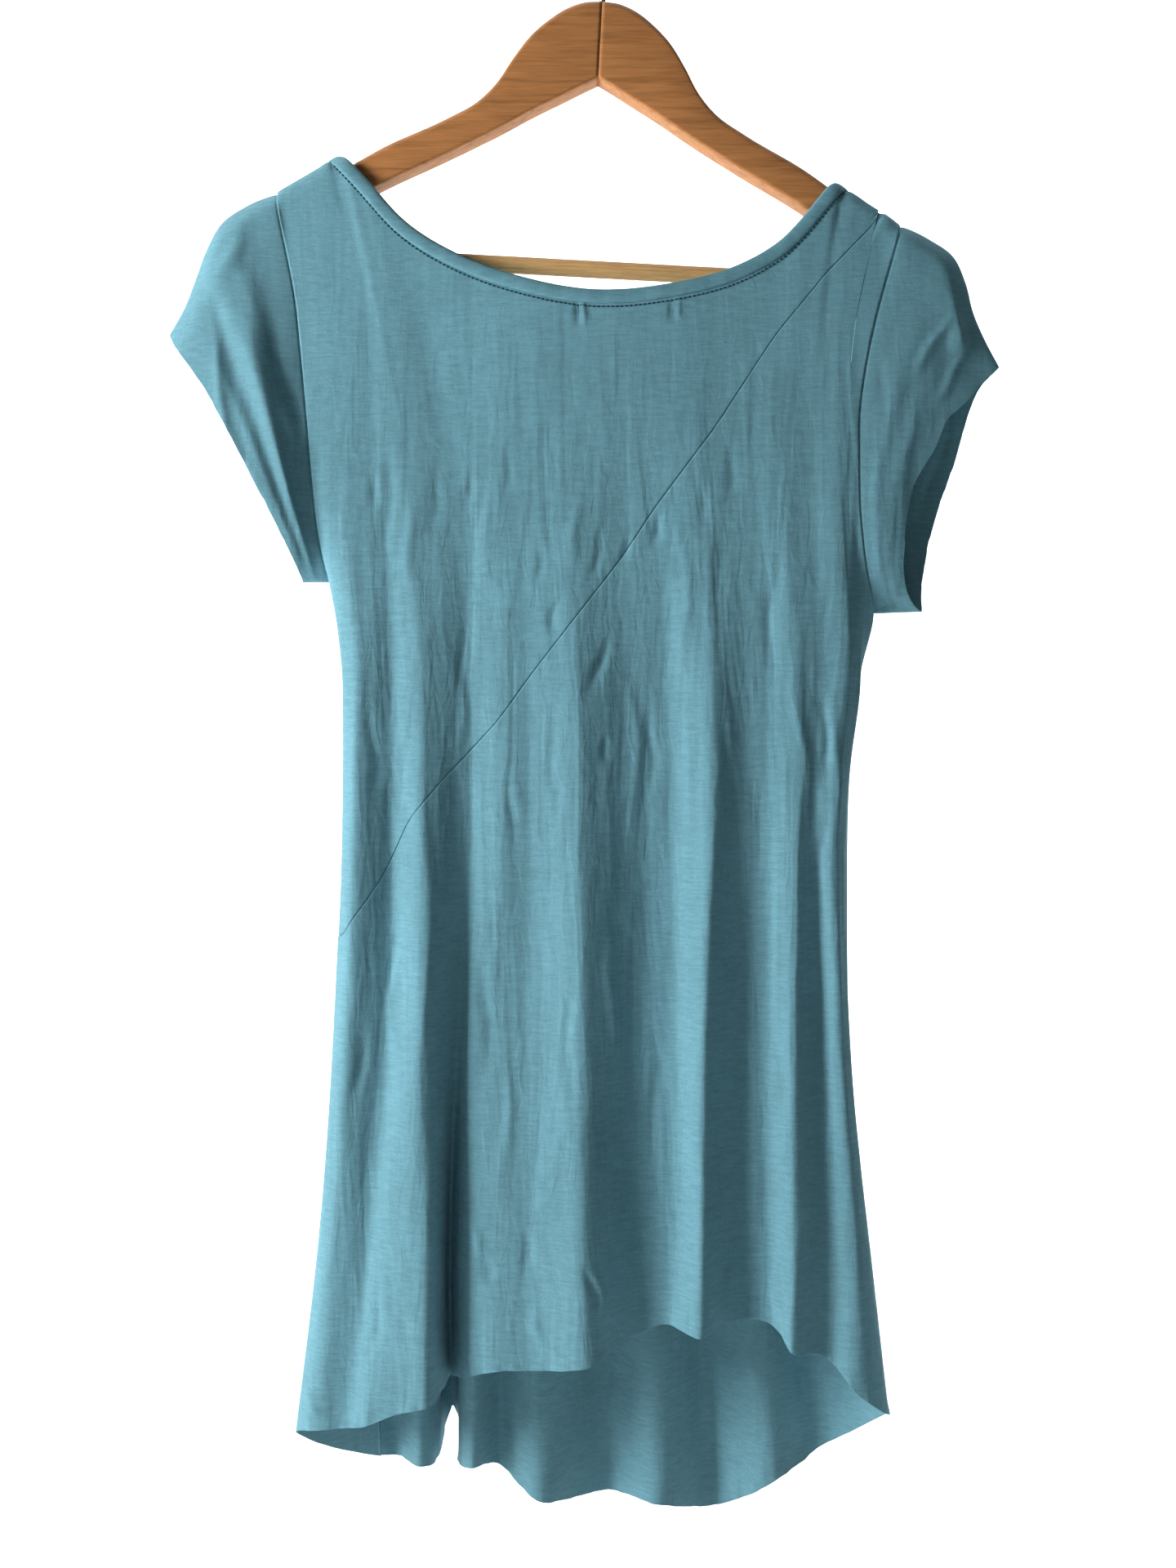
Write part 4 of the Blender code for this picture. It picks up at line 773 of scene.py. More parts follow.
def grid_normals(grid, closed):
    """Unit normals of a grid of points."""
    up = np.concatenate([2 * grid[:1] - grid[1:2], grid[:-1]])
    down = np.concatenate([grid[1:], 2 * grid[-1:] - grid[-2:-1]])
    left = np.roll(grid, 1, axis=1)
    right = np.roll(grid, -1, axis=1)
    if not closed:
        left[:, 0] = 2 * grid[:, 0] - grid[:, 1]
        right[:, -1] = 2 * grid[:, -1] - grid[:, -2]
    mean = np.zeros_like(grid)
    for a, b in ((left - grid, up - grid), (up - grid, right - grid),
                 (right - grid, down - grid), (down - grid, left - grid)):
        mean += unit(np.cross(a, b))
    return unit(mean)


def diagonal_share(panel, j):
    """How far down a line the diagonal seam crosses it."""
    xs = [p[0] for p in DIAGONAL]
    drops = [p[1] for p in DIAGONAL]
    low, high = 0.0, 3.0
    for _ in range(24):
        mid = (low + high) / 2
        x, _y, drop = panel.point(j, mid)
        if drop < np.interp(x, xs, drops):
            low = mid
        else:
            high = mid
    return (low + high) / 2


def facing(sign):
    """Test for a panel whose outer face looks along y."""
    return lambda grid, normal: normal[:, :, 1].mean() * sign


def away_from_middle(grid, normal):
    """Test for a tube whose outer face looks away from its middle."""
    return ((grid - grid.mean(axis=1, keepdims=True)) * normal).sum()


def back_grids(panel, shares):
    """Outer faces of the upper and the lower back, either side of the diagonal."""
    last = len(panel.lines) - 1
    cuts = [diagonal_share(panel, j) for j in range(last + 1)]
    end = max(j for j in range(last + 1) if cuts[j] > TIP_SHARE)
    upper_shares = [s for s in shares if s < cuts[0] - 0.1] + [cuts[0]]
    upper = []
    for i, s in enumerate(upper_shares):
        row = []
        for j in range(end + 1):
            full = min(1.0, cuts[j])
            part = full * s / cuts[0] + (1.0 - full) * i / (len(upper_shares) - 1)
            row.append(panel.point(j, part * max(cuts[j], 0.01)))
        upper.append(row)
    lower = []
    for i, s in enumerate(shares):
        row = []
        for j in range(last + 1):
            start = cuts[j] if j <= end else 0.0
            even = min(0.5, start)
            part = (1.0 - even) * s / 5.0 + even * i / (len(shares) - 1)
            row.append(panel.point(j, start + (5.0 - start) * part))
        lower.append(row)
    return np.array(upper), np.array(lower)


def panel_grid(panel, shares):
    """Outer face of a whole panel."""
    return np.array([[panel.point(j, s) for j in range(len(panel.lines))] for s in shares])


def armhole(back_column, front_column, drop):
    """Ring of an armhole: up the back panel's edge and down the front's."""
    back = [p for p in back_column if p[2] < drop + 0.5][::-1]
    front = [p for p in front_column if p[2] < drop + 0.5]
    low = (back[0] + front[-1]) / 2
    top = (back[-1] + front[0]) / 2
    return np.array([low] + back[1:-1] + [top] + front[1:-1]), len(back) - 1


def cuff_ring(rows, ring, half):
    """Points of a cuff at the same shares of its length as the armhole's."""
    top = min(range(len(rows)), key=lambda k: rows[k][2])
    closed = rows[-3:-1] + rows + rows[1:3]
    fine = [smooth_curve(closed, 2 + k / 24) for k in range(24 * (len(rows) - 1) + 1)]
    loop = np.concatenate([ring, ring[:1]])
    out = []
    for first, last, part in ((0, half, fine[:top * 24 + 1]), (half, len(loop) - 1, fine[top * 24:])):
        part = np.array(part)
        shares = lengths(loop[first:last + 1])
        along = lengths(part)
        for share in shares[:-1] / shares[-1]:
            out.append([np.interp(share * along[-1], along, part[:, k]) for k in range(3)])
    return np.array(out)


def sleeve_grid(start, half, cuff, top_line, ridges, steps):
    """Outer face of a sleeve, from the armhole to the cuff."""
    count = len(start)
    end = cuff_ring(cuff, start, half)
    over = even_points(top_line, steps + 1)
    grid = []
    for i in range(steps + 1):
        q = i / steps
        ring = []
        for k in range(count):
            flat = start[k] * (1 - q) + end[k] * q
            low = start[0] * (1 - q) + end[0] * q
            high = start[half] * (1 - q) + end[half] * q
            bow = over[i] - high
            down = min(1.0, max(0.0, (flat[2] - high[2]) / max(low[2] - high[2], 1e-6)))
            side = -1.0 if k < half else 1.0
            p = flat + bow * (1.0 - down) ** 2.2
            body = math.sin(math.pi * down) ** 0.8 if 0.0 < down < 1.0 else 0.0
            between = math.sin(math.pi * q) if 0 < i < steps else 0.0
            swell = SLEEVE_SWELL * between
            for q_top, q_low, height, wide in ridges:
                centre = q_top + (q_low - q_top) * down
                swell += height * math.exp(-((q - centre) / wide) ** 2) * between ** 0.5
            p[1] += side * swell * body
            if i > 0 and k > 0 and p[2] < low[2] - 60.0:
                p = clear_arm(p, side)
            ring.append(p)
        grid.append(ring)
    return np.array(grid)


def binding_grid(back_row, front_row):
    """Outer face of the neck binding, from the panels' edges inwards."""
    rings = []
    for rows, row in ((NECK_BACK, back_row), (NECK_FRONT, front_row)):
        inner, side = neck_path(rows)
        outer = inner + side * (BINDING_WIDE + SEAM_GAP)
        picked = []
        for p in row:
            if outer[0][0] - 0.5 <= p[0] <= outer[-1][0] + 0.5:
                near = int(np.linalg.norm(outer[:, [0, 2]] - p[[0, 2]], axis=1).argmin())
                picked.append((p, side[near]))
        rings.append(picked)
    loop = rings[0] + rings[1][::-1][1:-1]
    grid = []
    for along in (SEAM_GAP, BINDING_WIDE / 2, BINDING_WIDE + SEAM_GAP):
        grid.append([p - s * along for p, s in loop])
    return np.array(grid)


def hanger_point(a, y, b):
    """From the hanger's own frame, rolled about the hook, to x, y, drop."""
    roll = math.radians(ROLL)
    return np.array((a * math.cos(roll) - b * math.sin(roll), y, a * math.sin(roll) + b * math.cos(roll)))


def arm_bottom_reach(b):
    """Distance from the middle at which an arm's bottom edge has this drop."""
    return float(np.interp(b, [row[3] for row in ARM_ROWS], [row[1] for row in ARM_ROWS]))


def hook_path():
    """Centre line of the hook's wire, in the hanger's frame: a, b."""
    points = [(0.0, ARM_ROWS[0][2] - 0.5), (0.0, 58.0), (0.0, 50.0), (0.5, 43.5), (3.0, 37.5), (8.0, 32.0)]
    centre = HOOK_WIRE + HOOK_BOW
    for deg in (50, 25, 0, -30, -60, -90, -120, -150, -180, -200):
        t = math.radians(deg)
        points.append((HOOK_BOW * math.cos(t), centre + HOOK_BOW * math.sin(t)))
    return points


def binding_side(grid, normal):
    """Test for the binding, whose outer face looks away from the hanger."""
    return ((grid - grid.mean(axis=(0, 1)))[:, :, 1] * normal[:, :, 1]).sum()


def resample(stack, where):
    """Smooth curve through the first axis of an array of points.

    Slopes are held back, so that no coordinate overshoots between two points.
    """
    where = np.clip(np.asarray(where, float), 0.0, len(stack) - 1.0)
    i = np.minimum(where.astype(int), len(stack) - 2)
    t = (where - i).reshape((-1,) + (1,) * (stack.ndim - 1))
    ext = np.concatenate([2 * stack[:1] - stack[1:2], stack, 2 * stack[-1:] - stack[-2:-1]])
    step = np.maximum(np.linalg.norm(np.diff(ext[..., :3], axis=0), axis=-1)[..., None], 1e-6)
    rise = np.diff(ext, axis=0) / step
    before, after = rise[:-1], rise[1:]
    slope = (before * step[1:] + after * step[:-1]) / (step[:-1] + step[1:])
    most = 3.0 * np.minimum(np.abs(before), np.abs(after))
    slope = np.where(before * after <= 0.0, 0.0, np.clip(slope, -most, most))
    a = t ** 3
    b = t ** 2
    size = step[i + 1]
    return ((2 * a - 3 * b + 1) * stack[i] + (a - 2 * b + t) * size * slope[i]
            + (3 * b - 2 * a) * stack[i + 1] + (a - b) * size * slope[i + 1])


def lengths(stack):
    """Length along the first axis of an array of points, up to each of them."""
    step = np.linalg.norm(np.diff(stack[..., :3], axis=0), axis=-1)
    return np.concatenate([np.zeros_like(step[:1]), np.cumsum(step, axis=0)])


def even_marks(stack, count):
    """Places along the first axis that lie at even distances on the mean."""
    run = lengths(stack).mean(axis=1)
    return np.interp(np.linspace(0.0, run[-1], count), run, np.arange(len(run)))


def wrapped(stack, count):
    """Closed loop along the first axis, resampled to an even count."""
    ext = np.concatenate([stack[-3:], stack, stack[:4]])
    run = lengths(ext).mean(axis=1)
    first, last = run[3], run[3 + len(stack)]
    at = np.linspace(first, last, count + 1)[:-1]
    return resample(ext, np.interp(at, run, np.arange(len(run))))


def edge_run(total, count, shorter=0.0):
    """Distances of the rows of a column: close together at both ends."""
    scale = min(1.0, total / 12.0)
    near = np.array(EDGE_STEPS) * scale
    end = total - shorter
    middle = np.linspace(near[-1], end - near[-1], count - 2 * len(near) + 2)
    return np.concatenate([near, middle[1:-1], end - near[::-1]])


def set_rows(stack, count, ragged=None):
    """Columns of points, each with its rows at edge_run's distances."""
    fine = resample(stack, np.linspace(0.0, len(stack) - 1.0, (len(stack) - 1) * FINE + 1))
    run = lengths(fine)
    out = np.zeros((count,) + stack.shape[1:])
    from_top = np.zeros((count, stack.shape[1]))
    for c in range(stack.shape[1]):
        shorter = 0.0 if ragged is None else ragged[c]
        at = edge_run(run[-1, c], count, shorter)
        from_top[:, c] = at
        for k in range(stack.shape[2]):
            out[:, c, k] = np.interp(at, run[:, c], fine[:, c, k])
    return out, from_top, run[-1][None, :] - from_top


def pin_sides(stack, keep=9):
    """Draw the outer columns of a grid together at both side edges."""
    out = stack.copy()
    run = lengths(stack.swapaxes(0, 1)).T
    for r in range(len(stack)):
        row = run[r].copy()
        for first, side in ((0, 1), (len(row) - 1, -1)):
            inner = first + side * keep
            reach = abs(row[inner] - row[first])
            near = np.array(EDGE_STEPS) * min(1.0, reach / 6.0)
            rest = np.linspace(near[-1], reach, keep - len(near) + 2)[1:-1]
            for k, d in enumerate(np.concatenate([near, rest])):
                row[first + side * k] = run[r][first] + side * d
        for k in range(stack.shape[2]):
            out[r, :, k] = np.interp(row, run[r], stack[r, :, k])
    run = lengths(out.swapaxes(0, 1)).T
    return out, run, run[:, -1:] - run


def groove(distance):
    """Depth of the fold beside a seam."""
    return SEAM_DEPTH * np.exp(-(distance / SEAM_WIDE) ** 2)


def creases(table, points):
    """Height of soft creases over a grid of points, each along its own line.

    A crease is narrow where it starts, wider where it ends, and its line
    strays a little.
    """
    x, drop = points[..., 0], points[..., 2]
    out = np.zeros_like(x)
    for k, (_name, x0, d0, x1, d1, bow, wide, high) in enumerate(table):
        run = np.array((x1 - x0, d1 - d0))
        size = math.hypot(*run)
        t = ((x - x0) * run[0] + (drop - d0) * run[1]) / size ** 2
        stray = 0.02 * size * np.sin(9.0 * t + 2.1 * k)
        off = ((x - x0) * run[1] - (drop - d0) * run[0]) / size - bow * 4.0 * t * (1.0 - t) - stray
        inside = np.clip(t, 0.0, 1.0)
        fade = np.sin(math.pi * inside) ** 1.4
        out += high * fade * np.exp(-(off / (wide * (0.65 + 0.7 * inside))) ** 2)
    return out


def waver(at, seed, size):
    """Irregular small waves, from a few sines of uneven length."""
    rng = np.random.default_rng(seed)
    out = np.zeros_like(at)
    for wave in WAVES:
        turns = 2 * math.pi * at / (wave * rng.uniform(0.85, 1.15))
        out += np.sin(turns + rng.uniform(0, 6.28)) * wave ** 0.5
    return out / 9.0 * size


def skin(name, outer, normal, wall, mat, closed=False):
    """Closed shell from an outer face and the direction of its thickness."""
    rows, cols = outer.shape[:2]
    inner = outer - normal * wall
    index = np.arange(rows * cols).reshape(rows, cols)
    if closed:
        index = np.concatenate([index, index[:, :1]], axis=1)
    base = rows * cols
    faces = [quads(index), quads(index)[:, ::-1] + base]
    rims = [index[0], index[-1][::-1]]
    if not closed:
        rims += [index[::-1, 0], index[:, -1]]
    for rim in rims:
        faces.append(np.stack([rim[1:], rim[:-1], rim[:-1] + base, rim[1:] + base], axis=1))
    points = np.concatenate([outer.reshape(-1, 3), inner.reshape(-1, 3)])
    return add_mesh(name, points, np.concatenate(faces), mat)


def quads(index):
    """Faces between the rows and columns of a grid of point numbers."""
    corners = [index[:-1, :-1], index[:-1, 1:], index[1:, 1:], index[1:, :-1]]
    return np.stack(corners, axis=-1).reshape(-1, 4)


def tube_faces(rings, size, base=0):
    """Faces of a row of rings with as many points each, closed at both ends."""
    faces = []
    for low in range(base, base + (rings - 1) * size, size):
        for k in range(size):
            m = (k + 1) % size
            faces.append((low + k, low + m, low + size + m, low + size + k))
    last = base + (rings - 1) * size
    return faces + [tuple(range(base, base + size))[::-1], tuple(range(last, last + size))]


def placed(name, data):
    """New object of a mesh, light or camera in the scene."""
    obj = bpy.data.objects.new(name, data)
    bpy.context.scene.collection.objects.link(obj)
    return obj


def add_mesh(name, points, faces, mat):
    """Smooth mesh from rows of x, y and drop, turned right side out."""
    pts = np.asarray(points, float) * (MM, MM, -MM)
    faces = [list(f) for f in faces]
    mesh = bpy.data.meshes.new(name)
    mesh.from_pydata(pts.tolist(), [], faces)
    thirds = np.array([(f[0], f[k], f[k + 1]) for f in faces for k in range(1, len(f) - 1)])
    a, b, c = (pts[thirds[:, k]] for k in range(3))
    if (a * np.cross(b, c)).sum() < 0:
        mesh.flip_normals()
    mesh.polygons.foreach_set("use_smooth", [len(f) == 4 for f in faces])
    mesh.update()
    obj = placed(name, mesh)
    mesh.materials.append(mat)
    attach(obj, BODY)
    return obj


def channels(sheet):
    """Coarse grid with the direction of its thickness beside each point."""
    return np.concatenate([sheet.grid, sheet.final], axis=2)


def fine_panel(sheet, across, down, ragged_seed=None):
    """Fine grid of a panel, with distances from its four edges."""
    stack = channels(sheet)
    wide = resample(stack.swapaxes(0, 1), even_marks(stack.swapaxes(0, 1), across)).swapaxes(0, 1)
    ragged = None
    if ragged_seed is not None:
        ragged = waver(lengths(wide[-1]), ragged_seed, HEM_WAVER)
    grid, top, bottom = set_rows(wide, down, ragged)
    if sheet.name != "back_upper":
        grid = softened(grid)
    grid, left, right = pin_sides(grid)
    return grid, (top, bottom, left, right)


def softened(grid):
    """Folds rounded off across the columns, more and more down to the hem.

    Both side edges and the deep notch on the left stay as they are.
    """
    t = np.clip((grid[..., 2:3] - SOFT_FROM) / (SOFT_FULL - SOFT_FROM), 0.0, 1.0)
    notch = np.exp(-((grid[..., 0:1] - NOTCH_AT) / NOTCH_WIDE) ** 2)
    share = t * t * (3.0 - 2.0 * t) * (1.0 - notch)
    out = grid.copy()
    for _pass in range(SOFT_PASSES):
        mean = (out[:, :-2] + 2.0 * out[:, 1:-1] + out[:, 2:]) / 4.0
        out[:, 1:-1] += (mean - out[:, 1:-1]) * share[:, 1:-1]
    return out


def unit(v):
    return v / np.maximum(np.linalg.norm(v, axis=-1)[..., None], 1e-9)


def snap(points, line):
    """Move points onto the nearest places of a line of points."""
    return np.array([nearest(p, line[:-1], np.diff(line, axis=0))[2] for p in points])


def fine_sleeve(sheet, back_edge, front_edge, seed):
    """Fine grid of a sleeve whose first ring lies on the panels' edges."""
    stack = channels(sheet)
    wide = wrapped(stack.swapaxes(0, 1), SLEEVE_MESH[0]).swapaxes(0, 1)
    grid, top, _bottom = set_rows(wide, SLEEVE_MESH[1], waver(lengths(wide[-1]), seed, HEM_WAVER))
    line = np.concatenate([back_edge, front_edge])
    move = snap(grid[0, :, :3], line) - grid[0, :, :3]
    grid[..., :3] += move[None] * np.exp(-top / JOIN_REACH)[..., None]
    return grid, top


def bind_neck(sheet, mat):
    """Folded strip round the neck: a rounded section run round the loop."""
    stack = channels(sheet)
    loop = wrapped(stack.swapaxes(0, 1), BINDING_MESH).swapaxes(0, 1)
    edge, inner, normal = loop[0, :, :3], loop[-1, :, :3], unit(loop[1, :, 3:])
    across = unit(inner - edge)
    wide = np.linalg.norm(inner - edge, axis=1)[:, None]
    run = lengths(loop[1])
    swell = 1.0 + waver(run, BINDING_SEED, BINDING_SWELL)[:, None]
    rings = []
    for share, high in BINDING_SECTION:
        rings.append(edge + across * wide * share + normal * high * (swell if high > 0 else 1.0))
    rings = np.array(rings)
    index = np.arange(rings[..., 0].size).reshape(rings.shape[:2])
    index = np.pad(index, ((0, 1), (0, 1)), mode="wrap")
    return add_mesh("neck_binding_fabric", rings.reshape(-1, 3), quads(index), mat)


def stitches(name, line, normal, pitch, size, mat):
    """Row of small thread dashes laid along a line of points."""
    run = lengths(line)
    verts, faces = [], []
    at = pitch / 2
    while at < run[-1] - size[0]:
        ends = []
        for s in (at, at + size[0]):
            ends.append(np.array([np.interp(s, run, line[:, k]) for k in range(3)]))
        out = unit(np.array([np.interp(at, run, normal[:, k]) for k in range(3)]))
        ahead = unit(ends[1] - ends[0])
        side = np.cross(ahead, out)
        base = len(verts)
        for share, fat in STITCH_SHAPE:
            middle = ends[0] + (ends[1] - ends[0]) * share
            for k in range(STITCH_SIDES):
                t = 2 * math.pi * k / STITCH_SIDES
                away = side * math.cos(t) + out * (math.sin(t) + STITCH_LIFT)
                verts.append(middle + away * size[1] * fat)
        faces += tube_faces(len(STITCH_SHAPE), STITCH_SIDES, base)
        at += pitch
    return add_mesh(name, verts, faces, mat)


def tube(name, path, radii, sides, mat, flute=0.0):
    """Round bar or wire along a line of points, with closed ends."""
    path = np.array(path, float)
    verts = []
    for i, p in enumerate(path):
        ahead = unit(path[min(i + 1, len(path) - 1)] - path[max(i - 1, 0)])
        flat = unit(np.cross(ahead, (0.0, 1.0, 0.0)))
        third = np.cross(flat, ahead)
        for k in range(sides):
            t = 2 * math.pi * k / sides
            r = radii[i] * (1.0 - flute * (0.5 + 0.5 * math.cos(sides / 4 * t)))
            verts.append(p + (flat * math.cos(t) + third * math.sin(t)) * r)
    return add_mesh(name, verts, tube_faces(len(path), sides), mat)


def node(tree, kind, **inputs):
    """New shader node with values set on its sockets by name."""
    return put(tree.nodes.new("ShaderNode" + kind), inputs)


def put(made, inputs):
    """Set values on the sockets of a shader node by name."""
    for key, value in inputs.items():
        made.inputs[key.replace("_", " ")].default_value = value
    return made


def mapped(tree, turn=(0, 0, 0), scale=(1, 1, 1)):
    """Object coordinates, turned and scaled."""
    coord = tree.nodes.new("ShaderNodeTexCoord")
    mapping = node(tree, "Mapping", Rotation=turn, Scale=scale)
    tree.links.new(coord.outputs["Object"], mapping.inputs["Vector"])
    return mapping.outputs["Vector"]


def noise(tree, vector, scale, detail=2.0, roughness=0.5, warp=0.0):
    made = node(tree, "TexNoise", Scale=scale, Detail=detail, Roughness=roughness, Distortion=warp)
    tree.links.new(vector, made.inputs["Vector"])
    return made.outputs["Fac"]


def ramp(tree, value, colour, stops):
    """Shades of one colour: where each lies on the ramp, and how light it is."""
    made = tree.nodes.new("ShaderNodeValToRGB")
    tree.links.new(value, made.inputs["Fac"])
    points = made.color_ramp.elements
    while len(points) < len(stops):
        points.new(0.5)
    for point, (at, light) in zip(points, stops):
        point.position = at
        point.color = tuple(c * light for c in colour) + (1.0,)
    return made.outputs["Color"]


def mix(tree, share, a, b, blend="MIX"):
    """Mix of two colours by one share, which may be a number or a socket."""
    made = tree.nodes.new("ShaderNodeMix")
    made.data_type = "RGBA"
    made.blend_type = blend
    for key, value in ((0, share), (6, a), (7, b)):
        if isinstance(value, bpy.types.NodeSocket):
            tree.links.new(value, made.inputs[key])
        else:
            made.inputs[key].default_value = value
    return made.outputs[2]


def bump(tree, shader, heights):
    """Chain of bumps: each is a height, a strength and a depth in metres."""
    normal = None
    for height, strength, depth in heights:
        made = node(tree, "Bump", Strength=strength, Distance=depth)
        tree.links.new(height, made.inputs["Height"])
        if normal is not None:
            tree.links.new(normal, made.inputs["Normal"])
        normal = made.outputs["Normal"]
    tree.links.new(normal, shader.inputs["Normal"])


def surface(name, **inputs):
    """New material with values set on its shader's sockets by name."""
    mat = bpy.data.materials.new(name)
    mat.use_nodes = True
    return mat, mat.node_tree, put(mat.node_tree.nodes["Principled BSDF"], inputs)


def lessened(tree, height):
    """A height that is fainter over the shoulders, where the cloth is pulled smooth."""
    coord = tree.nodes.new("ShaderNodeTexCoord")
    parts = tree.nodes.new("ShaderNodeSeparateXYZ")
    tree.links.new(coord.outputs["Object"], parts.inputs[0])
    share = tree.nodes.new("ShaderNodeMapRange")
    for key, value in zip((1, 2, 3, 4), SMOOTH_ZONE):
        share.inputs[key].default_value = value
    tree.links.new(parts.outputs["Z"], share.inputs[0])
    made = tree.nodes.new("ShaderNodeMath")
    made.operation = "MULTIPLY"
    tree.links.new(height, made.inputs[0])
    tree.links.new(share.outputs[0], made.inputs[1])
    return made.outputs[0]


def jersey(name, colour, crumpled=0.0):
    """Fine slub jersey: short level streaks, a fine grain, soft crumples."""
    mat, tree, shader = surface(name, Roughness=0.9, Sheen_Weight=0.06, Sheen_Roughness=0.5,
                                Specular_IOR_Level=0.15)
    streak = noise(tree, mapped(tree, scale=(0.14, 0.14, 1.0)), 780.0, 4.0, 0.65)
    grain = noise(tree, mapped(tree), 1300.0, 2.0)
    cloud = noise(tree, mapped(tree, scale=(1, 1, 0.6)), 22.0, 3.0)
    base = ramp(tree, mix(tree, 0.4, streak, grain), colour, ((0.30, 0.78), (0.70, 1.20)))
    worn = ramp(tree, cloud, (1.0, 1.0, 1.0), ((0.3, 0.94), (0.7, 1.06)))
    tree.links.new(mix(tree, 1.0, base, worn, "MULTIPLY"), shader.inputs["Base Color"])
    heights = [(streak, 0.4, 0.0003), (grain, 0.35, 0.0002)]
    if crumpled > 0.0:
        soft = noise(tree, mapped(tree, (0, math.radians(4), 0), (1, 1, 0.15)), 60.0, 2.0, 0.5, 0.5)
        fine = noise(tree, mapped(tree, (0, math.radians(-14), 0), (1, 1, 0.3)), 150.0, 2.0, 0.5, 0.8)
        soft, fine = (lessened(tree, height) for height in (soft, fine))
        heights = [(soft, 1.0, 0.0026 * crumpled), (fine, 1.0, 0.0007 * crumpled)] + heights
    bump(tree, shader, heights)
    return mat


def wood(name, colour, turn, dark=0.62):
    """Varnished wood with long grain along one direction."""
    mat, tree, shader = surface(name, Roughness=0.5, Specular_IOR_Level=0.18)
    lines = noise(tree, mapped(tree, turn, (1.0, 14.0, 14.0)), 22.0, 5.0, 0.55, 0.3)
    pores = noise(tree, mapped(tree, turn, (1.0, 30.0, 30.0)), 70.0, 3.0, 0.6)
    base = ramp(tree, lines, colour, ((0.30, dark), (0.5, 0.95), (0.75, 1.2)))
    made = mix(tree, 0.22, base, ramp(tree, pores, colour, ((0.35, 0.4), (0.6, 1.15))))
    tree.links.new(made, shader.inputs["Base Color"])
    bump(tree, shader, ((lines, 0.25, 0.0004), (pores, 0.2, 0.0002)))
    return mat


def wire(name):
    """Bright steel wire with faint scratches."""
    mat, tree, shader = surface(name, Roughness=0.22, Metallic=1.0)
    scratch = noise(tree, mapped(tree), 900.0, 2.0)
    tone = ramp(tree, scratch, STEEL, ((0.3, 0.92), (0.7, 1.06)))
    tree.links.new(tone, shader.inputs["Base Color"])
    bump(tree, shader, ((scratch, 0.05, 0.00005),))
    return mat


def quarter(steps):
    """Angles of a quarter turn."""
    return [math.pi / 2 * k / steps for k in range(steps + 1)]


def fine_arm(name, side, mat):
    """One arm of the hanger: a rounded section run along smoothed rows."""
    rows = np.array([(a, top, bottom, ARM_THICK * TIP_THINNER.get(label, 1.0))
                     for label, a, top, bottom in ARM_ROWS])
    fine = np.array([smooth_curve(rows, k / 5.0) for k in range(5 * (len(rows) - 1) + 1)])
    fine[0, 0] = MITRE_GAP
    verts = []
    for a, top, bottom, thick in fine:
        half = thick / 2
        r_top = min(half * 0.8, (bottom - top) * 0.4)
        ring = [(half - r_top + r_top * math.sin(t), top + r_top - r_top * math.cos(t)) for t in quarter(8)]
        ring += [(half - ARM_EDGE + ARM_EDGE * math.cos(t), bottom - ARM_EDGE + ARM_EDGE * math.sin(t))
                 for t in quarter(4)]
        ring += [(-y, b) for y, b in ring[::-1]]
        verts += [hanger_point(side * a, y, b) for y, b in ring]
    return add_mesh(name, verts, tube_faces(len(fine), len(ring)), mat)


def dress_hanger():
    for name, side, node_name in (("arm_left", -1.0, "hanger_arm_left"),
                                  ("arm_right", 1.0, "hanger_arm_right")):
        turn = (0.0, math.radians(-30.0 * side + ROLL), 0.0)
        arm = fine_arm(name + "_wood", side, wood(name + "_grain", WOOD, turn))
        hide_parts(node_name)
    reach = arm_bottom_reach(BAR_DROP) - BAR_END
    path = [hanger_point(s * reach, 0.0, BAR_DROP) for s in np.linspace(-1.0, 1.0, 21)]
    grain = wood("bar_grain", BAR_WOOD, (0.0, math.radians(ROLL), 0.0), 0.75)
    bar = tube("bar_wood", path, [BAR_RADIUS] * len(path), 64, grain, 0.10)
    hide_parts("hanger_bar")
    rows = np.array([(a, 0.0, b) for a, b in hook_path()])
    fine = [smooth_curve(rows, k / 6.0) for k in range(6 * (len(rows) - 1) + 1)]
    path = [hanger_point(*p) for p in fine]
    radii = [HOOK_WIRE] * len(path)
    radii[-1] = HOOK_WIRE * 0.45
    radii[-2] = HOOK_WIRE * 0.85
    hook = tube("hook_wire", path, radii, 20, wire("hook_steel_wire"))
    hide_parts("hook")


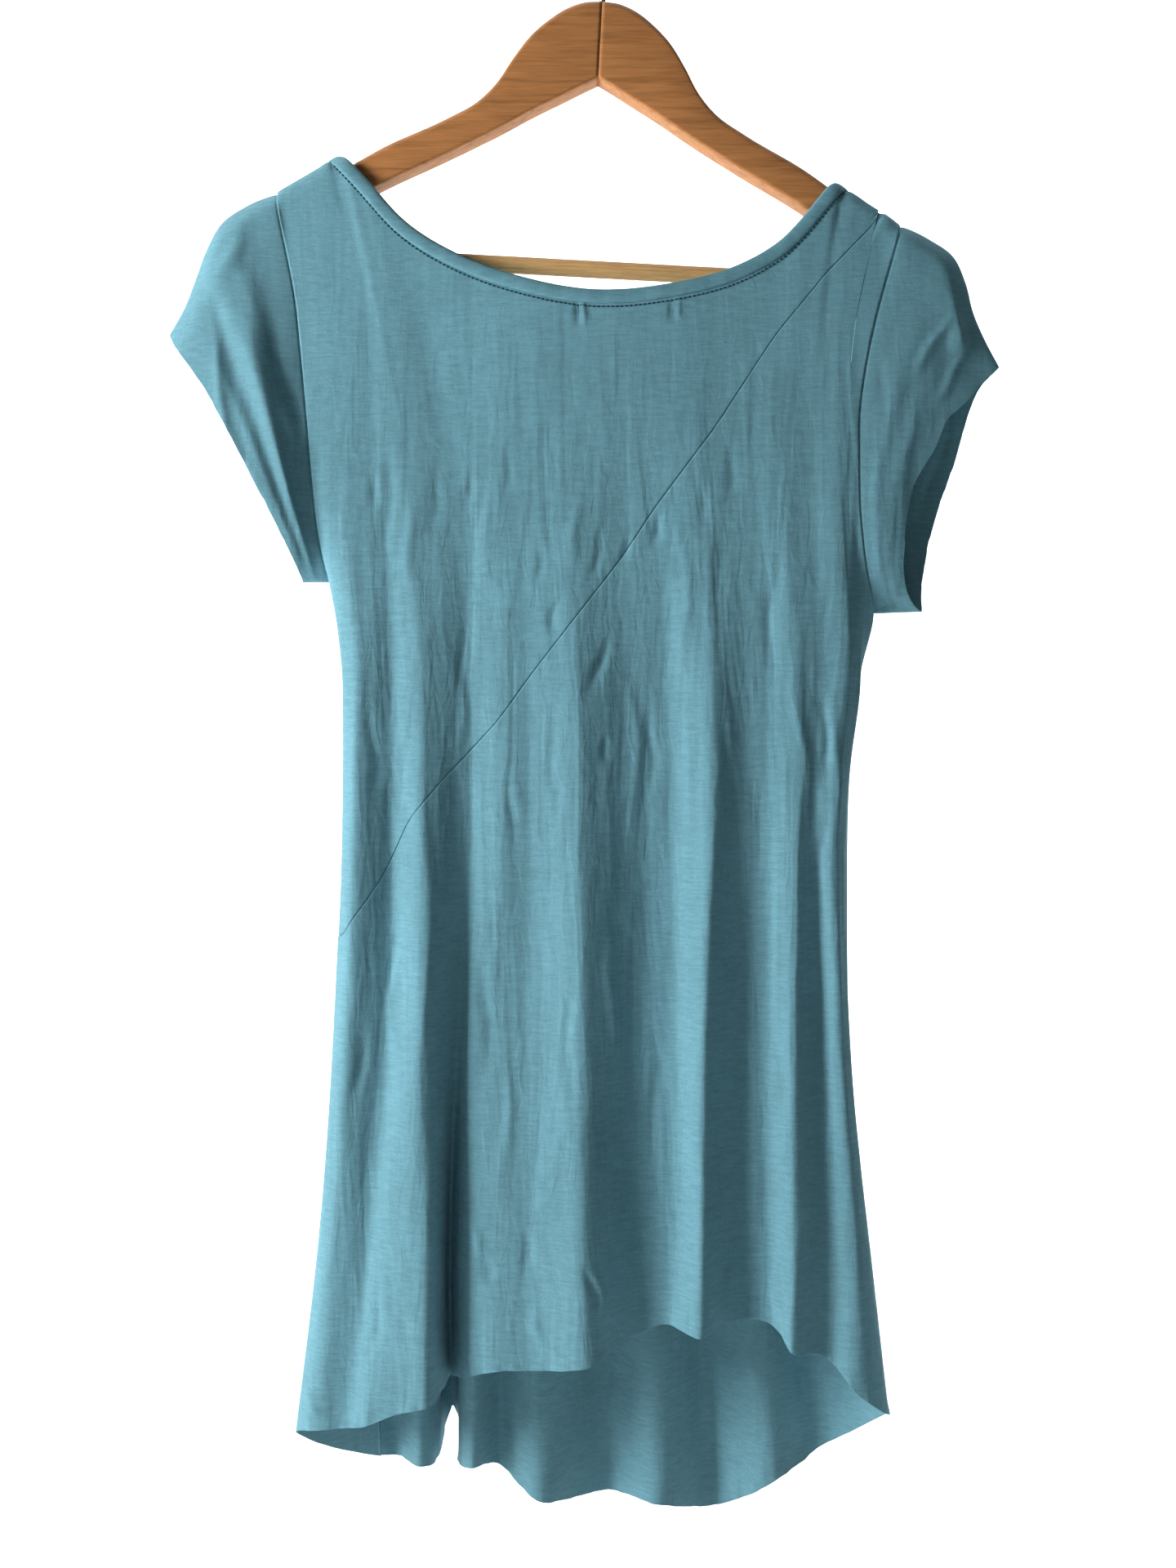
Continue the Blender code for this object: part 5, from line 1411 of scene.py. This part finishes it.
def dress_cloth():
    back = Panel("back", ACROSS)
    front = Panel("front", ACROSS)
    shares = row_shares()
    upper, lower = back_grids(back, shares)
    far = panel_grid(front, shares)
    ring_left, half_left = armhole(upper[:, 0], far[:, 0], LEFT_UNDERARM)
    ring_right, half_right = armhole(lower[:, -1], far[:, -1], RIGHT_UNDERARM)
    left = sleeve_grid(ring_left, half_left, CUFF_LEFT, TOP_LEFT, RIDGES_LEFT, SLEEVE_ALONG)
    right = sleeve_grid(ring_right, half_right, CUFF_RIGHT, TOP_RIGHT, RIDGES_RIGHT, SLEEVE_ALONG)
    neck = binding_grid(upper[0], far[0])
    sheets = [
        Sheet("back_upper", upper, False, facing(-1.0)),
        Sheet("back_lower", lower, False, facing(-1.0)),
        Sheet("front", far, False, facing(1.0)),
        Sheet("sleeve_left", left, True, away_from_middle),
        Sheet("sleeve_right", right, True, away_from_middle),
        Sheet("neck_binding", neck, True, binding_side),
    ]
    join_normals(sheets, SEAM_REACH)
    cloth = jersey("jersey_back", TEAL, 1.0)
    sleeve_cloth = jersey("jersey_sleeve", TEAL, 0.8)
    tape = jersey("jersey_binding", TEAL_BINDING)
    thread = jersey("thread", THREAD)
    made = {}
    fine = {}
    for sheet in sheets[:3]:
        grid, (top, bottom, left_d, right_d) = fine_panel(sheet, *PANEL_MESH[sheet.name])
        outer, normal = grid[..., :3], unit(grid[..., 3:])
        table = FRONT_CREASES if sheet.name == "front" else BACK_CREASES
        high = creases(table, outer)
        high -= groove(top) + groove(left_d)
        if sheet.name == "back_upper":
            high -= groove(bottom)
        else:
            high -= groove(right_d)
            curl = waver(lengths(outer[-1]), CURL_SEED, HEM_CURL)
            high += curl[None, :] * np.exp(-(bottom / CURL_REACH) ** 2)
        outer = outer + normal * high[..., None]
        fine[sheet.name] = (outer, normal)
        made[sheet.name] = skin(sheet.name + "_fabric", outer, normal, WALL, cloth)
    upper_outer, lower_outer, far_outer = (fine[n][0] for n in ("back_upper", "back_lower", "front"))
    sleeves = (
        (sheets[3], upper_outer[:, 0], far_outer[:, 0], LEFT_UNDERARM, LEFT_NEAR, LEFT_FAR, 21),
        (sheets[4], lower_outer[:, -1], far_outer[:, -1], RIGHT_UNDERARM, RIGHT_NEAR, RIGHT_FAR, 22),
    )
    for sheet, back_edge, front_edge, underarm, near, away, seed in sleeves:
        back_edge, front_edge = (e[e[:, 2] < underarm + EDGE_SPARE] for e in (back_edge, front_edge))
        grid, top = fine_sleeve(sheet, back_edge[::-1], front_edge, seed)
        outer, normal = grid[..., :3], unit(grid[..., 3:])
        facing_y = normal[..., 1]
        high = creases(near, outer) * np.clip(-3.0 * facing_y, 0.0, 1.0)
        high += creases(away, outer) * np.clip(3.0 * facing_y, 0.0, 1.0)
        high = high * (1.0 - np.exp(-(top / CREASE_START) ** 2)) - groove(top)
        high[0] = 0.0
        outer = outer + normal * high[..., None]
        made[sheet.name] = skin(sheet.name + "_fabric", outer, normal, WALL, sleeve_cloth, closed=True)
    made["neck_binding"] = bind_neck(sheets[5], tape)
    for name in ("back_upper", "front"):
        outer, normal = fine[name]
        at = outer[STITCH_ROW, :, 0]
        keep = (at > NECK_LEFT + EDGE_SPARE) & (at < NECK_RIGHT - EDGE_SPARE)
        line, lift = outer[STITCH_ROW, keep], normal[STITCH_ROW, keep]
        stitches("neck_stitches_" + name, line, lift, STITCH_PITCH, STITCH_SIZE, thread)
    for name, obj in made.items():
        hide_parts(name)


def area_light(name, place, target, size, power, colour, spread):
    data = bpy.data.lights.new(name, "AREA")
    data.shape = "RECTANGLE"
    data.size, data.size_y = size
    data.energy = power
    data.color = colour
    data.spread = math.radians(spread)
    obj = placed(name, data)
    obj.location = place
    obj.rotation_euler = (Vector(target) - Vector(place)).to_track_quat("-Z", "Y").to_euler()


def stage_set():
    """Pale floor that curves up into a backdrop, soft lights and the camera."""
    rows = [(FLOOR_NEAR, FLOOR)]
    for t in quarter(12):
        rows.append((FLOOR_FAR + FLOOR_BEND * math.sin(t), FLOOR + FLOOR_BEND - FLOOR_BEND * math.cos(t)))
    rows.append((FLOOR_FAR + FLOOR_BEND, FLOOR_TOP))
    verts = [(x, y, z) for y, z in rows for x in (-FLOOR_HALF, FLOOR_HALF)]
    faces = [(2 * i, 2 * i + 1, 2 * i + 3, 2 * i + 2) for i in range(len(rows) - 1)]
    mesh = bpy.data.meshes.new("floor")
    mesh.from_pydata(verts, [], faces)
    for poly in mesh.polygons:
        poly.use_smooth = True
    floor = placed("floor", mesh)
    mesh.materials.append(surface("pale_floor", Roughness=0.9, Base_Color=FLOOR_TONE)[0])
    for row in LIGHTS:
        area_light(*row)
    world_light = bpy.data.worlds.new("studio")
    world_light.use_nodes = True
    put(world_light.node_tree.nodes["Background"], {"Color": SKY_TONE, "Strength": SKY})
    bpy.context.scene.world = world_light
    data = bpy.data.cameras.new("camera")
    data.lens = LENS
    cam = placed("camera", data)
    cam.location = CAMERA
    cam.rotation_euler = (math.pi / 2, 0.0, 0.0)
    bpy.context.scene.camera = cam
    bpy.context.scene.view_settings.view_transform = "Standard"


dress_cloth()
dress_hanger()
stage_set()
